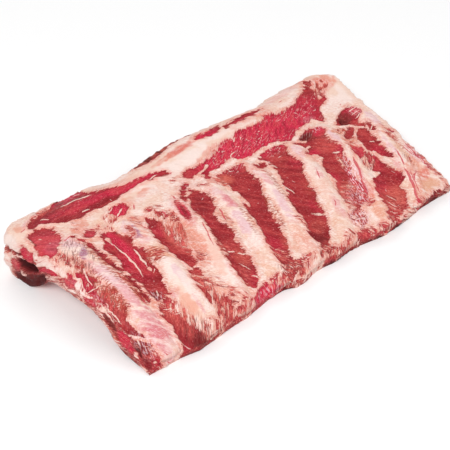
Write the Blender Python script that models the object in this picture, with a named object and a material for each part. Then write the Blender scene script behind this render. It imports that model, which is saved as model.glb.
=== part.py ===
"""Rack of eight beef back ribs, lying on its two long edges like a low arch.

The meat is one slab. Eight flat rib bones lie in channels along its arched outer side, from the
cut front edge to the thick chine edge. Metres, +X along the rack, +Y from the cut rib ends to the
chine edge, +Z up, with the origin on the table under the middle of the whole rack.
"""
import bmesh
import bpy
import numpy as np

# ---- driving dimensions -------------------------------------------------------------------------
LENGTH = 0.420                # the slab's own length unit, along the cut rib ends
WIDTH = 0.225                 # across the rack, from the cut ends to the chine edge
MIDDLE = (-0.0110, 0.1154)    # middle of the whole rack's box, seen from above
LEFT_EDGE = (-0.2135, -0.250)     # beside rib 1, at the cut ends and at the chine
RIGHT_EDGE = (0.213, 0.222)       # beside rib 8, at the cut ends and at the chine
LEFT_EDGE_POWER = 1.5         # the edge beside rib 1 swings outwards late
LEFT_CORNER = 0.027           # radius of the chine corner beside rib 1
RIGHT_CORNER = 0.032          # radius of the chine corner beside rib 8
LEFT_LEAN = 0.007             # how far the cut face beside rib 1 leans inwards at its top
EDGE_BULGE = 0.003            # roundness of the rim between the two skins
CHINE_BULGE = 0.005           # the same along the thick chine edge
FLAP_REACH = 0.004            # the loose flap under the chine corner beside rib 1
FLAP_MIDDLE = 0.190
FLAP_HALF_WIDTH = 0.030

# Arch across the rack: place from the front edge, outer skin beside rib 1 and beside rib 8,
# inner skin beside rib 1 and beside rib 8.
ARCH = (
    (0.000, 0.0140, 0.0130, 0.0000, 0.0000),
    (0.020, 0.0260, 0.0180, 0.0000, 0.0000),
    (0.045, 0.0390, 0.0235, 0.0070, 0.0040),
    (0.062, 0.0450, 0.0265, 0.0210, 0.0080),
    (0.085, 0.0520, 0.0310, 0.0310, 0.0120),
    (0.120, 0.0565, 0.0360, 0.0345, 0.0180),
    (0.145, 0.0565, 0.0395, 0.0280, 0.0150),
    (0.163, 0.0560, 0.0415, 0.0100, 0.0050),
    (0.178, 0.0550, 0.0430, 0.0000, 0.0000),
    (0.212, 0.0515, 0.0465, 0.0000, 0.0000),
    (0.225, 0.0455, 0.0445, 0.0040, 0.0040),
)

# Uneven outline of the two long edges: place along the rack and across it.
FRONT_EDGE = (
    (-0.210, 0.001), (-0.180, 0.000), (-0.152, -0.005), (-0.125, -0.003), (-0.084, -0.001),
    (-0.050, 0.003), (-0.034, 0.002), (-0.024, -0.002), (0.010, 0.002), (0.030, -0.001),
    (0.058, 0.001), (0.100, -0.005), (0.122, -0.005), (0.155, -0.001), (0.210, -0.001),
)
CHINE_EDGE = (
    (-0.210, 0.229), (-0.172, 0.231), (-0.160, 0.231), (-0.146, 0.228), (-0.128, 0.228),
    (-0.103, 0.2235), (-0.087, 0.220), (-0.066, 0.221), (-0.035, 0.2245), (0.000, 0.228),
    (0.020, 0.228), (0.070, 0.225), (0.110, 0.221), (0.136, 0.224), (0.173, 0.227), (0.210, 0.226),
)

# Ribs: middle line at the cut end and at the chine end, from the slab's own centre line.
RIB_FRONT = (-0.186, -0.133, -0.090, -0.042, 0.005, 0.053, 0.108, 0.162)
RIB_CHINE = (-0.178, -0.120, -0.066, -0.020, 0.032, 0.090, 0.139, 0.193)
RIB_END = 0.152               # the bones stop here, under the fat of the chine
BONE_HALF_WIDTH = 0.011
BONE_WALL = 0.0022            # how far the bone's lower corners are drawn in
BONE_CROWN = 0.0026           # the bone's rounded outer side stands this proud of the meat
BONE_DEPTH_FRONT = 0.0080     # the bone's sunk depth at the cut end and at the chine end
BONE_DEPTH_CHINE = 0.0100
BONE_HEAD = 0.020             # length over which the bone's chine end rounds off
BONE_GAP = 0.0004             # clearance between a bone and its channel
HEAD_GAP = 0.0008             # the same at the bone's rounded chine end
RIDGE_HALF_WIDTH = 0.019      # the skin swells over each rib by this width and height
RIDGE_HEIGHT = 0.0012
INNER_RIDGE = 0.0022          # the same on the inner side of the arch

# Long muscle along the chine edge beside ribs 1 to 4, as a swelling of the outer skin.
STRIP_MIDDLE = (-0.115, 0.203)
STRIP_HALF_SIZE = (0.085, 0.020)
STRIP_HEIGHT = 0.0025

SHAFT_ROWS = 14               # rows of the mesh over the straight part of the bones
HEAD_ROWS = 5                 # rows over their rounded chine ends
CHINE_ROWS = 8                # rows from there to the chine edge


# ---- the rack's form ----------------------------------------------------------------------------
def smooth(t):
    t = np.clip(t, 0.0, 1.0)
    return t * t * (3.0 - 2.0 * t)


def bell(t):
    return np.cos(np.clip(t, -1.0, 1.0) * np.pi / 2.0) ** 2


def curve(stations, column, t):
    """Smooth curve through one column of a list of stations."""
    places = np.array([row[0] for row in stations])
    values = np.array([row[column] for row in stations])
    slopes = np.gradient(values, places)
    t = np.clip(t, places[0], places[-1])
    k = int(np.clip(np.searchsorted(places, t) - 1, 0, len(places) - 2))
    span = places[k + 1] - places[k]
    s = (t - places[k]) / span
    return ((2 * s**3 - 3 * s**2 + 1) * values[k] + (s**3 - 2 * s**2 + s) * span * slopes[k]
            + (3 * s**2 - 2 * s**3) * values[k + 1] + (s**3 - s**2) * span * slopes[k + 1])


def rib_line(rib, y):
    """Middle line of a rib: the ribs fan out and lean over towards the chine."""
    t = min(y / RIB_END, 1.0)
    return RIB_FRONT[rib] + (RIB_CHINE[rib] - RIB_FRONT[rib]) * (2.0 * t - t * t)


def ridges(u, y):
    """Share of the full swelling over the nearest rib."""
    over = sum(bell((u - rib_line(rib, y)) / RIDGE_HALF_WIDTH) for rib in range(len(RIB_FRONT)))
    return float(over * (1.0 - smooth((y - RIB_END + 0.03) / 0.04)))


def outer_skin(u, y):
    share = u / LENGTH + 0.5
    height = (1.0 - share) * curve(ARCH, 1, y) + share * curve(ARCH, 2, y)
    strip = bell((u - STRIP_MIDDLE[0]) / STRIP_HALF_SIZE[0])
    strip *= bell((y - STRIP_MIDDLE[1]) / STRIP_HALF_SIZE[1])
    return height + RIDGE_HEIGHT * ridges(u, y) + STRIP_HEIGHT * float(strip)


def inner_skin(u, y):
    share = u / LENGTH + 0.5
    height = (1.0 - share) * curve(ARCH, 3, y) + share * curve(ARCH, 4, y)
    return max(height - INNER_RIDGE * ridges(u, y) * float(smooth(height / 0.010)), 0.0)


def corner_inset(y, radius):
    reach = max(y - (WIDTH - radius), 0.0)
    return radius - np.sqrt(max(radius**2 - reach**2, 0.0))


def place(u, y, z):
    """From the slab's own frame, which starts at the middle of the cut edge, to the rack's."""
    share = y / WIDTH
    left = LEFT_EDGE[0] + (LEFT_EDGE[1] - LEFT_EDGE[0]) * share**LEFT_EDGE_POWER
    right = RIGHT_EDGE[0] + (RIGHT_EDGE[1] - RIGHT_EDGE[0]) * share
    left += corner_inset(y, LEFT_CORNER) + 0.0010 * np.sin(y / 0.011 + 1.0)
    right -= corner_inset(y, RIGHT_CORNER) + 0.0010 * np.sin(y / 0.013 + 2.0)
    x = left + (right - left) * (u / LENGTH + 0.5)
    shift = curve(FRONT_EDGE, 1, u) * (1.0 - share) ** 3 + (curve(CHINE_EDGE, 1, u) - WIDTH) * share**3
    return (x - MIDDLE[0], y + shift - MIDDLE[1], z)


def rows():
    """Rows across the rack: even over the bones, closer at their ends and at the chine edge."""
    shaft = np.linspace(0.0, RIB_END - BONE_HEAD, SHAFT_ROWS)
    head = RIB_END - BONE_HEAD + BONE_HEAD * np.sin(np.linspace(0.0, np.pi / 2, HEAD_ROWS + 1)[1:])
    chine = RIB_END + (WIDTH - RIB_END) * np.sin(np.linspace(0.0, np.pi / 2, CHINE_ROWS + 1)[1:])
    return list(shaft) + list(head) + list(chine)


# ---- bones and their channels -------------------------------------------------------------------
def head_taper(y):
    """Runs from 1 along the bone down to nothing at its rounded chine end."""
    reach = np.clip((y - (RIB_END - BONE_HEAD)) / BONE_HEAD, 0.0, 1.0)
    return float(np.sqrt(1.0 - reach**2))


def trough(rib, y, gap):
    """Lower half of a rib as (u, z) points; the channel itself has a gap of 0."""
    taper = head_taper(y)
    half = BONE_HALF_WIDTH * (0.45 + 0.55 * taper) - gap
    depth = (BONE_DEPTH_FRONT + (BONE_DEPTH_CHINE - BONE_DEPTH_FRONT) * y / RIB_END) * taper
    middle = rib_line(rib, y)
    brim = -gap
    drops = (brim, 0.68 * depth - gap, depth - gap, 0.68 * depth - gap, brim)
    sides = (-half, BONE_WALL - half, 0.0, half - BONE_WALL, half)
    return [(middle + s, outer_skin(middle + s, y) - d) for s, d in zip(sides, drops)]


def build_rib(rib):
    """One rib bone: the channel's shape less the gap, under a rounded outer side."""
    bm = bmesh.new()
    rings = []
    bone_rows = rows()[:SHAFT_ROWS + HEAD_ROWS - 1]
    for y in bone_rows:
        low = trough(rib, y, BONE_GAP)
        half = (low[-1][0] - low[0][0]) / 2
        middle = rib_line(rib, y)
        top = outer_skin(middle, y)
        crown = [(middle + s * half, top + BONE_GAP + BONE_CROWN * c * head_taper(y))
                 for s, c in ((0.55, 0.75), (0.0, 1.0), (-0.55, 0.75))]
        back_off = HEAD_GAP if y == bone_rows[-1] else 0.0
        rings.append([bm.verts.new(place(u, y - back_off, z)) for u, z in low + crown])
    for near, far in zip(rings[:-1], rings[1:]):
        for i in range(len(near)):
            j = (i + 1) % len(near)
            bm.faces.new((near[i], near[j], far[j]))
            bm.faces.new((near[i], far[j], far[i]))
    bm.faces.new(rings[0][::-1])
    bm.faces.new(rings[-1])
    return finish("rib_%d" % (rib + 1), bm)


# ---- the slab of meat ---------------------------------------------------------------------------
def between(start, end, y):
    """Two points that share out the meat between two channels."""
    return [(u, outer_skin(u, y)) for u in (start + (end - start) * 0.35, start + (end - start) * 0.70)]


def slab_row(y):
    """Outer skin points across one row, channels included, as (u, z)."""
    ends = (-LENGTH / 2 + LEFT_LEAN, LENGTH / 2)
    points = [(ends[0], outer_skin(ends[0], y))]
    for rib in range(len(RIB_FRONT)):
        channel = trough(rib, min(y, RIB_END), 0.0)
        if y > RIB_END:
            channel = [(u, outer_skin(u, y)) for u, z in channel]
        points += between(points[-1][0], channel[0][0], y) + channel
    return points + between(points[-1][0], ends[1], y) + [(ends[1], outer_skin(ends[1], y))]


def sheet(bm, grid, flipped):
    """Two triangles for each cell, always split along the same diagonal."""
    for near, far in zip(grid[:-1], grid[1:]):
        for i in range(len(near) - 1):
            for tri in ((near[i], near[i + 1], far[i + 1]), (near[i], far[i + 1], far[i])):
                bm.faces.new(tri[::-1] if flipped else tri)


def border(grid):
    """The grid's outline in order: front, right, back and left."""
    right = [row[-1] for row in grid]
    left = [row[0] for row in grid]
    return grid[0][:-1] + right[:-1] + grid[-1][:0:-1] + left[:0:-1]


def rim_point(upper, lower, outwards):
    middle = (upper.co + lower.co) / 2
    return (middle.x + outwards[0], middle.y + outwards[1], middle.z)


def build_slab():
    bm = bmesh.new()
    outer, inner = [], []
    for y in rows():
        row = slab_row(y)
        outer.append([bm.verts.new(place(u, y, z)) for u, z in row])
        under = [-LENGTH / 2] + [u for u, z in row[1:]]
        inner.append([bm.verts.new(place(u, y, inner_skin(u, y))) for u in under])
        inner[-1][0].co.x -= FLAP_REACH * float(bell((y - FLAP_MIDDLE) / FLAP_HALF_WIDTH))
    sheet(bm, outer, False)
    sheet(bm, inner, True)
    wide, deep = len(outer[0]) - 1, len(outer) - 1
    outwards = [(0.0, 0.0)] * wide + [(EDGE_BULGE, 0.0)] * deep
    outwards += [(0.0, CHINE_BULGE)] * wide + [(-EDGE_BULGE, 0.0)] * deep
    upper, lower = border(outer), border(inner)
    rim = [bm.verts.new(rim_point(a, b, way)) for a, b, way in zip(upper, lower, outwards)]
    for i in range(len(rim)):
        j = (i + 1) % len(rim)
        bm.faces.new((upper[j], upper[i], rim[i], rim[j]))
        bm.faces.new((rim[j], rim[i], lower[i], lower[j]))
    return finish("meat_slab", bm)


# ---- making the objects -------------------------------------------------------------------------
def finish(name, bm):
    bmesh.ops.recalc_face_normals(bm, faces=bm.faces[:])
    mesh = bpy.data.meshes.new(name)
    bm.to_mesh(mesh)
    bm.free()
    piece = bpy.data.objects.new(name, mesh)
    bpy.context.scene.collection.objects.link(piece)
    mesh.shade_smooth()
    mesh.set_sharp_from_angle(angle=np.radians(40))
    return piece


def coat(piece, name, colour, roughness):
    material = bpy.data.materials.new(name)
    material.use_nodes = True
    shader = material.node_tree.nodes["Principled BSDF"]
    shader.inputs["Base Color"].default_value = (*colour, 1.0)
    shader.inputs["Roughness"].default_value = roughness
    shader.inputs["Metallic"].default_value = 0.0
    piece.data.materials.append(material)


for leftover in list(bpy.data.objects):
    bpy.data.objects.remove(leftover)

coat(build_slab(), "beef", (0.52, 0.09, 0.08), 0.35)
for rib_number in range(len(RIB_FRONT)):
    coat(build_rib(rib_number), "bone_%d" % (rib_number + 1), (0.85, 0.66, 0.60), 0.40)
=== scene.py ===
"""Rack of eight raw beef back ribs, lying on its two long edges like a low arch.

Lengths are millimetres on the slab: u along the rack and y across it, from the cut rib ends to the
thick chine edge. place() turns them into the frame's metres.
"""

import bpy
import numpy as np
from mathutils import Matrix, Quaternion, Vector


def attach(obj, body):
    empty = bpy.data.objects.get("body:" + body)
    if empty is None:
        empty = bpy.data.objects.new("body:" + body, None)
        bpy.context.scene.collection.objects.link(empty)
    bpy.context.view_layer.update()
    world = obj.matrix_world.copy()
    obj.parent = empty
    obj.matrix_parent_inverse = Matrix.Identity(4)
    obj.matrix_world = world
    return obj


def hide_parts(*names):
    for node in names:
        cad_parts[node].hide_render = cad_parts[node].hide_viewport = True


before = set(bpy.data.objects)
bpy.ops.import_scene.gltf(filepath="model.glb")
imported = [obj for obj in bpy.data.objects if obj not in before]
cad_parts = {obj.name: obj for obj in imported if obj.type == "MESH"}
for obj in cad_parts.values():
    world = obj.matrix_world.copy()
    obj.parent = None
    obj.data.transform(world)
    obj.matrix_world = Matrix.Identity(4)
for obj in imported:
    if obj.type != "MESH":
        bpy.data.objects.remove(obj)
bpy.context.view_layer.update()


# ---- The slab of meat ---------------------------------------------------------------------------
# One slab of lean and fat, left on the ribs when the thick loin muscle is cut away. Its outer side
# shows lean between the ribs, hard cream fat over them and two cut muscles along the chine edge.
LENGTH = 420.0
WIDTH = 225.0
MIDDLE = (-11.0, 115.4)           # middle of the whole rack, from the slab's own frame
LEFT_EDGE = (-213.5, -250.0)      # beside rib 1, at the cut ends and at the chine
RIGHT_EDGE = (213.0, 222.0)       # beside rib 8
LEFT_EDGE_POWER = 1.5             # the left edge bends outwards towards the chine
LEFT_CORNER = 27.0                # radius of the corners at the chine
RIGHT_CORNER = 32.0
EDGE_WAVES = ((11.0, 1.0), (13.0, 2.0))    # (length, start) of the waves in the left and right edges
LEFT_LEAN = 7.0                   # the left cut face leans in this much at its top
FRONT_BULGE = 0.6                 # how far the cut faces swell out at mid height
EDGE_BULGE = 3.0
CHINE_BULGE = 5.0

# Arch across the rack: y, outer skin beside rib 1 and rib 8, inner skin beside rib 1 and rib 8.
ARCH = (
    (0, 14.0, 13.0, 0.0, 0.0), (20, 26.0, 18.0, 0.0, 0.0), (45, 39.0, 23.5, 7.0, 4.0),
    (62, 45.0, 26.5, 21.0, 8.0), (85, 52.0, 31.0, 31.0, 12.0), (120, 56.5, 36.0, 34.5, 18.0),
    (145, 56.5, 39.5, 28.0, 15.0), (163, 56.0, 41.5, 10.0, 5.0), (178, 55.0, 43.0, 0.0, 0.0),
    (212, 51.5, 46.5, 0.0, 0.0), (225, 45.5, 44.5, 4.0, 4.0),
)
FRONT_EDGE = (
    (-210, 1.0), (-180, 0.0), (-152, -5.0), (-125, -3.0), (-84, -1.0), (-50, 3.0), (-34, 2.0),
    (-24, -2.0), (10, 2.0), (30, -1.0), (58, 1.0), (100, -5.0), (122, -5.0), (155, -1.0), (210, -1.0),
)
CHINE_EDGE = (
    (-210, 229.0), (-172, 231.0), (-160, 231.0), (-146, 228.0), (-128, 228.0), (-103, 223.5),
    (-87, 220.0), (-66, 221.0), (-35, 224.5), (0, 228.0), (20, 228.0), (70, 225.0), (110, 221.0),
    (136, 224.0), (173, 227.0), (210, 226.0),
)
RIB_FRONT = (-186.0, -133.0, -90.0, -42.0, 5.0, 53.0, 108.0, 162.0)
RIB_CHINE = (-178.0, -120.0, -66.0, -20.0, 32.0, 90.0, 139.0, 193.0)
RIB_END = 152.0
RIDGE_HALF_WIDTH = 19.0           # the skin swells over each rib
RIDGE_HEIGHT = 1.2
RIDGE_FADE = (-30.0, 10.0)        # from here to here past a rib's end the swelling dies out
INNER_RIDGE = 2.2
INNER_FADE = 10.0                 # no swelling underneath where the slab touches the floor
MUSCLE_MIDDLE = (-115.0, 203.0)   # a long muscle swells the skin beside ribs 1 to 4
MUSCLE_HALF_SIZE = (85.0, 20.0)
MUSCLE_HEIGHT = 2.5


def smooth(t, low=0.0, high=1.0):
    t = np.clip((t - low) / (high - low), 0.0, 1.0)
    return t * t * (3.0 - 2.0 * t)


def bell(t):
    return np.cos(np.clip(t, -1.0, 1.0) * np.pi / 2.0) ** 2


def curve(stations, column, t):
    """Smooth curve through one column of a list of stations."""
    table = np.array(stations, float)
    places, values = table[:, 0], table[:, column]
    slopes = np.gradient(values, places)
    t = np.clip(t, places[0], places[-1])
    k = np.clip(np.searchsorted(places, t) - 1, 0, len(places) - 2)
    span = places[k + 1] - places[k]
    s = (t - places[k]) / span
    return ((2 * s**3 - 3 * s**2 + 1) * values[k] + (s**3 - 2 * s**2 + s) * span * slopes[k]
            + (3 * s**2 - 2 * s**3) * values[k + 1] + (s**3 - s**2) * span * slopes[k + 1])


def rib_line(rib, y):
    """Middle line of a rib: the ribs fan out and lean over towards the chine."""
    t = np.clip(y / RIB_END, 0.0, 1.0)
    return RIB_FRONT[rib] + (RIB_CHINE[rib] - RIB_FRONT[rib]) * (2.0 * t - t * t)


def ridges(u, y):
    over = sum(bell((u - rib_line(rib, y)) / RIDGE_HALF_WIDTH) for rib in range(len(RIB_FRONT)))
    return over * (1.0 - smooth(y, RIB_END + RIDGE_FADE[0], RIB_END + RIDGE_FADE[1]))


def outer_skin(u, y):
    share = u / LENGTH + 0.5
    height = (1.0 - share) * curve(ARCH, 1, y) + share * curve(ARCH, 2, y)
    along = bell((u - MUSCLE_MIDDLE[0]) / MUSCLE_HALF_SIZE[0])
    across = bell((y - MUSCLE_MIDDLE[1]) / MUSCLE_HALF_SIZE[1])
    return height + RIDGE_HEIGHT * ridges(u, y) + MUSCLE_HEIGHT * (along * across)


def inner_skin(u, y):
    share = u / LENGTH + 0.5
    height = (1.0 - share) * curve(ARCH, 3, y) + share * curve(ARCH, 4, y)
    return np.maximum(height - INNER_RIDGE * ridges(u, y) * smooth(height, 0.0, INNER_FADE), 0.0)


def corner_inset(y, radius):
    reach = np.maximum(y - (WIDTH - radius), 0.0)
    return radius - np.sqrt(np.maximum(radius**2 - reach**2, 0.0))


def place(u, y, z):
    """From the slab's millimetres to the frame's metres."""
    share = y / WIDTH
    left = LEFT_EDGE[0] + (LEFT_EDGE[1] - LEFT_EDGE[0]) * share**LEFT_EDGE_POWER
    right = RIGHT_EDGE[0] + (RIGHT_EDGE[1] - RIGHT_EDGE[0]) * share
    left_wave, right_wave = (np.sin(y / length + start) for length, start in EDGE_WAVES)
    left = left + corner_inset(y, LEFT_CORNER) + left_wave
    right = right - corner_inset(y, RIGHT_CORNER) - right_wave
    x = left + (right - left) * (u / LENGTH + 0.5)
    shift = curve(FRONT_EDGE, 1, u) * (1.0 - share) ** 3 + (curve(CHINE_EDGE, 1, u) - WIDTH) * share**3
    return np.stack([x - MIDDLE[0], y + shift - MIDDLE[1], z], -1) / 1000.0


RANDOM_CELLS = 128


def mottle(a, b, seed):
    """Smooth random field between 0 and 1 that changes over about 1 in a and in b."""
    size = RANDOM_CELLS
    table = np.random.default_rng(seed).random((size, size))
    i, j = np.floor(a).astype(int), np.floor(b).astype(int)
    s, t = smooth(a - i), smooth(b - j)
    near = table[i % size, j % size] * (1 - s) + table[(i + 1) % size, j % size] * s
    far = table[i % size, (j + 1) % size] * (1 - s) + table[(i + 1) % size, (j + 1) % size] * s
    return near * (1 - t) + far * t


def patches(u, y, size, seed):
    """Random patches of about this size, from 0 to 1. Each effect has a seed of its own."""
    return mottle(u / size, y / size, seed)


# The lean's fibres run four ways: across the gaps between the ribs, up towards the chine, along the
# ribs, and along the rack. Angles are from the rack's length.
FIBRE_ANGLES = (np.radians(-45), np.radians(52), np.radians(80), np.radians(4))


def fibres(u, y, angle, length, width, seed):
    along = u * np.cos(angle) + y * np.sin(angle)
    across = y * np.cos(angle) - u * np.sin(angle)
    return mottle(along / length, across / width, seed)


def inside_rows(t, s, rows):
    """How far a point is inside a shape given as rows of (t, lowest s, highest s)."""
    table = np.array(rows, float)
    low, high = np.interp(t, table[:, 0], table[:, 1]), np.interp(t, table[:, 0], table[:, 2])
    return np.minimum(np.minimum(s - low, high - s), np.minimum(t - table[0, 0], table[-1, 0] - t))


def inside_spot(u, y, spot):
    """1 in the middle of a tilted ellipse (u, y, half length, half width, tilt), 0 on its edge."""
    middle_u, middle_y, long_half, short_half, tilt = spot
    c, s = np.cos(np.radians(tilt)), np.sin(np.radians(tilt))
    du, dy = u - middle_u, y - middle_y
    return 1.0 - np.hypot((du * c + dy * s) / long_half, (dy * c - du * s) / short_half)


# Lean between the ribs, as rows across the rack: (y, left side, right side).
GAP_LEAN = (
    # the torn edge left of rib 1
    ((-8, -216, -196), (4, -216, -196), (12, -216, -197), (22, -216, -194), (30, -216, -198),
     (46, -216, -197), (51, -216, -191), (70, -216, -189.5), (90, -216, -191), (108, -216, -192.5),
     (115, -216, -196), (119, -216, -204)),
    # the rose muscle beside the head of rib 1
    ((140, -201, -199), (148, -202.5, -194), (155, -204, -189), (160, -204, -182), (165, -204, -176),
     (170, -202, -173), (174, -198, -172), (184, -196, -171), (189, -195, -173), (193, -190, -178)),
    # gap 1-2: a strip along rib 1's right side whose dark tone is painted shade, the strips beside it, and
    # the red end of the gap
    ((50, -168, -166.5), (60, -169, -165.5), (80, -169.5, -165.5), (100, -169.5, -164.5),
     (120, -169, -162.5), (140, -166.5, -163), (150, -167, -164), (161, -167, -165.5)),
    ((49, -160, -146), (56, -162, -143.5), (64, -162, -142), (70, -161.5, -139), (76, -162, -137),
     (83, -163, -138), (88, -162.5, -136), (94, -162, -130), (99, -161.5, -129), (104, -161, -131),
     (108, -160.5, -133), (113, -160, -134), (122, -159.5, -131), (128, -158, -132),
     (132, -154, -133), (138, -151, -135), (145, -149, -136), (151, -146, -137), (158, -142, -139)),
    ((-9, -170, -124), (-3, -170, -126), (1, -169.5, -146), (8, -169, -146), (14, -167.5, -147.5),
     (20, -164.5, -149), (26, -167, -149), (32, -167.5, -148), (38, -165, -147), (43, -162, -148),
     (47, -159, -151)),
    # gap 2-3: the upper window, then the dark streaky one below it
    ((61, -108, -102), (66, -110, -99), (72, -113, -97.5), (80, -113.5, -97), (95, -112.5, -98),
     (110, -111, -98), (118, -109.5, -95), (125, -107, -93), (130, -104.5, -94), (136, -101.5, -96),
     (142, -100, -98)),
    ((22, -116, -107), (30, -119, -105), (38, -118, -102), (45, -117, -101), (55, -116, -99.5),
     (61, -113, -102)),
    # gap 3-4
    ((13, -71, -66), (17, -74, -57), (25, -75, -54), (35, -76, -51.5), (50, -72.5, -49.5),
     (60, -70, -49), (66, -69, -49.5), (72, -68, -44), (84, -64, -45.5), (90, -61, -46), (98, -58.5, -45),
     (105, -58, -42), (112, -57.5, -35), (120, -57, -31), (130, -53, -31.5), (133, -49, -32.5),
     (141, -47, -35), (143, -41, -35.5), (149, -39.5, -38.5)),
    # gap 4-5
    ((3, -29, -26), (13, -28, -16), (22, -28, -12), (32, -27, -7), (40, -26, -4), (52, -21, 2),
     (60, -19, 2), (70, -18, 4.5), (76, -14, 5), (80, -15, 9), (90, -12, 14), (98, -10, 17),
     (105, -5, 21), (115, -3, 26), (120, -4, 23.5), (127, -3.5, 25), (132, -3, 23.5), (140, -5, 30),
     (146, -5, 31), (148, -3, 28)),
    # gap 5-6
    ((11, 28, 31), (17, 25, 38), (24, 22, 44), (30, 21, 48), (38, 25, 54), (52, 29, 57), (60, 30, 58),
     (65, 31, 65), (75, 33, 66), (80, 35.5, 66), (84, 40, 68), (92, 43, 71), (99, 46, 74),
     (105, 49.5, 79), (112, 50.5, 80.5), (118, 53, 80), (128, 53, 79.5), (137, 51, 82), (143, 50, 86),
     (146, 52, 86), (148.5, 58, 82), (150, 66, 76)),
    # gap 6-7
    ((30, 84, 108), (40, 84, 112), (50, 86, 118), (60, 88, 117), (70, 94, 118), (78, 97, 120),
     (85, 97, 122), (92, 98, 126), (98, 101, 131), (105, 106, 134), (118, 103, 132), (124, 102, 131),
     (131, 99, 131), (134, 97, 138), (138, 96, 140), (141, 101, 139), (145, 107, 135),
     (148, 112, 131), (151, 120, 127)),
    # gap 7-8: the lower window, then the upper one behind its tongue of fat
    ((2, 113, 139), (6, 112, 144), (10, 113, 148), (15, 118, 152), (20, 118, 156), (25, 121, 152),
     (29, 120, 155), (32, 121, 165), (40, 123, 166), (46, 128, 165), (50.5, 131, 163), (52, 146, 163),
     (60, 144, 163), (66, 148, 162.5), (72, 152, 162), (81, 157, 161)),
    ((60, 174, 176), (65, 171, 178), (72, 168, 176.5), (80, 162, 177), (92, 160, 178.5), (102, 160.5, 179),
     (110, 163.5, 180), (117, 170, 182), (125, 173, 179.5), (130, 168, 183), (134, 157, 192),
     (138, 156, 193.5), (144, 164, 192), (148, 170, 192), (151, 178, 190), (154, 184, 188)),
)

# Muscles cut along the chine edge, as rows along the rack: (u, front side, chine side).
CHINE_LEAN = (
    ((-187, 199, 201), (-183, 196, 205.5), (-176, 196, 208), (-170, 193, 210), (-163, 187, 211.5),
     (-155, 184, 214), (-150, 182.5, 228), (-140, 182, 231), (-125, 183, 231), (-118, 182.5, 222),
     (-115, 182, 210), (-105, 183, 206.5), (-98, 185.5, 205), (-90, 189, 204), (-80, 190.5, 202),
     (-70, 192, 201.5), (-60, 190.5, 200), (-50, 188, 197.5), (-45, 185, 196.5), (-37, 184, 194),
     (-33, 186, 190)),
    ((-30, 167, 169), (-26, 163, 173), (-18, 163, 175.5), (-15, 152, 176), (-12, 149, 175.6),
     (-3, 156, 175), (5, 157, 175), (10, 157, 176), (20, 161, 178), (28, 163, 183), (31, 158, 186),
     (36, 153, 189), (45, 152, 192.5), (50, 153, 186), (55, 154, 190), (62, 156, 195), (75, 157, 193),
     (85, 155, 192), (90, 150, 192), (97, 147, 195), (103, 151, 205), (110, 155, 198),
     (115, 157, 193), (125, 159, 193), (133, 161, 193), (141, 162, 195), (146, 153, 197), (149, 149, 198),
     (153, 152, 200), (156, 160, 201.5), (158, 168, 202), (162, 173, 203), (170, 174, 208), (177, 178, 213),
     (184, 195, 218), (190, 216, 221)),
    ((20, 209, 212), (27, 206, 214.5), (36, 205, 214.5), (46, 206, 215), (53, 208.5, 215.5), (57, 212, 216)),
    ((57, 206, 211), (68, 206, 214), (80, 206, 216), (92, 208.5, 218), (103, 211, 217), (113, 212.5, 215)),
    ((-60, 223, 230), (-46, 219, 230), (-30, 217, 230), (-12, 220, 230), (4, 223, 230), (22, 226, 230)),
)

# Smaller spots of lean. A spot is always (u, y, half length, half width, tilt in degrees).
LEAN_SPOTS = (
    # above rib 2, above gap 3-4, and beside the pocket of gap 7-8
    (-110, 168, 14, 8, 35), (-43, 152, 9, 2.6, 42), (-37, 157, 4, 2.4, 60), (-52, 141, 7, 2.2, 70),
    (185, 110, 6, 3.5, 80), (160, 118, 11, 5.5, 25),
    # islands in the fat between the ribs
    (148, 90, 12, 7, 66), (104, 118, 9, 5, 10), (44, 133, 7, 2.5, 12), (100, 137, 5, 3, -20),
    (-154, 154, 9, 5.5, 20), (-211, 180, 3, 8, 0), (201, 95, 3, 1.6, 0),
    # along the front edge
    (-57, 1, 22, 7, 0), (24, 4, 8, 5, 60), (79, 3, 14, 3, 0), (184, -3, 16, 4, 3),
    (-112, 4, 9, 8, 60), (-103, 10, 14, 5, 70), (38, -4, 16, 4.5, 2), (-135, -2, 12, 6.5, 0),
)

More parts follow.
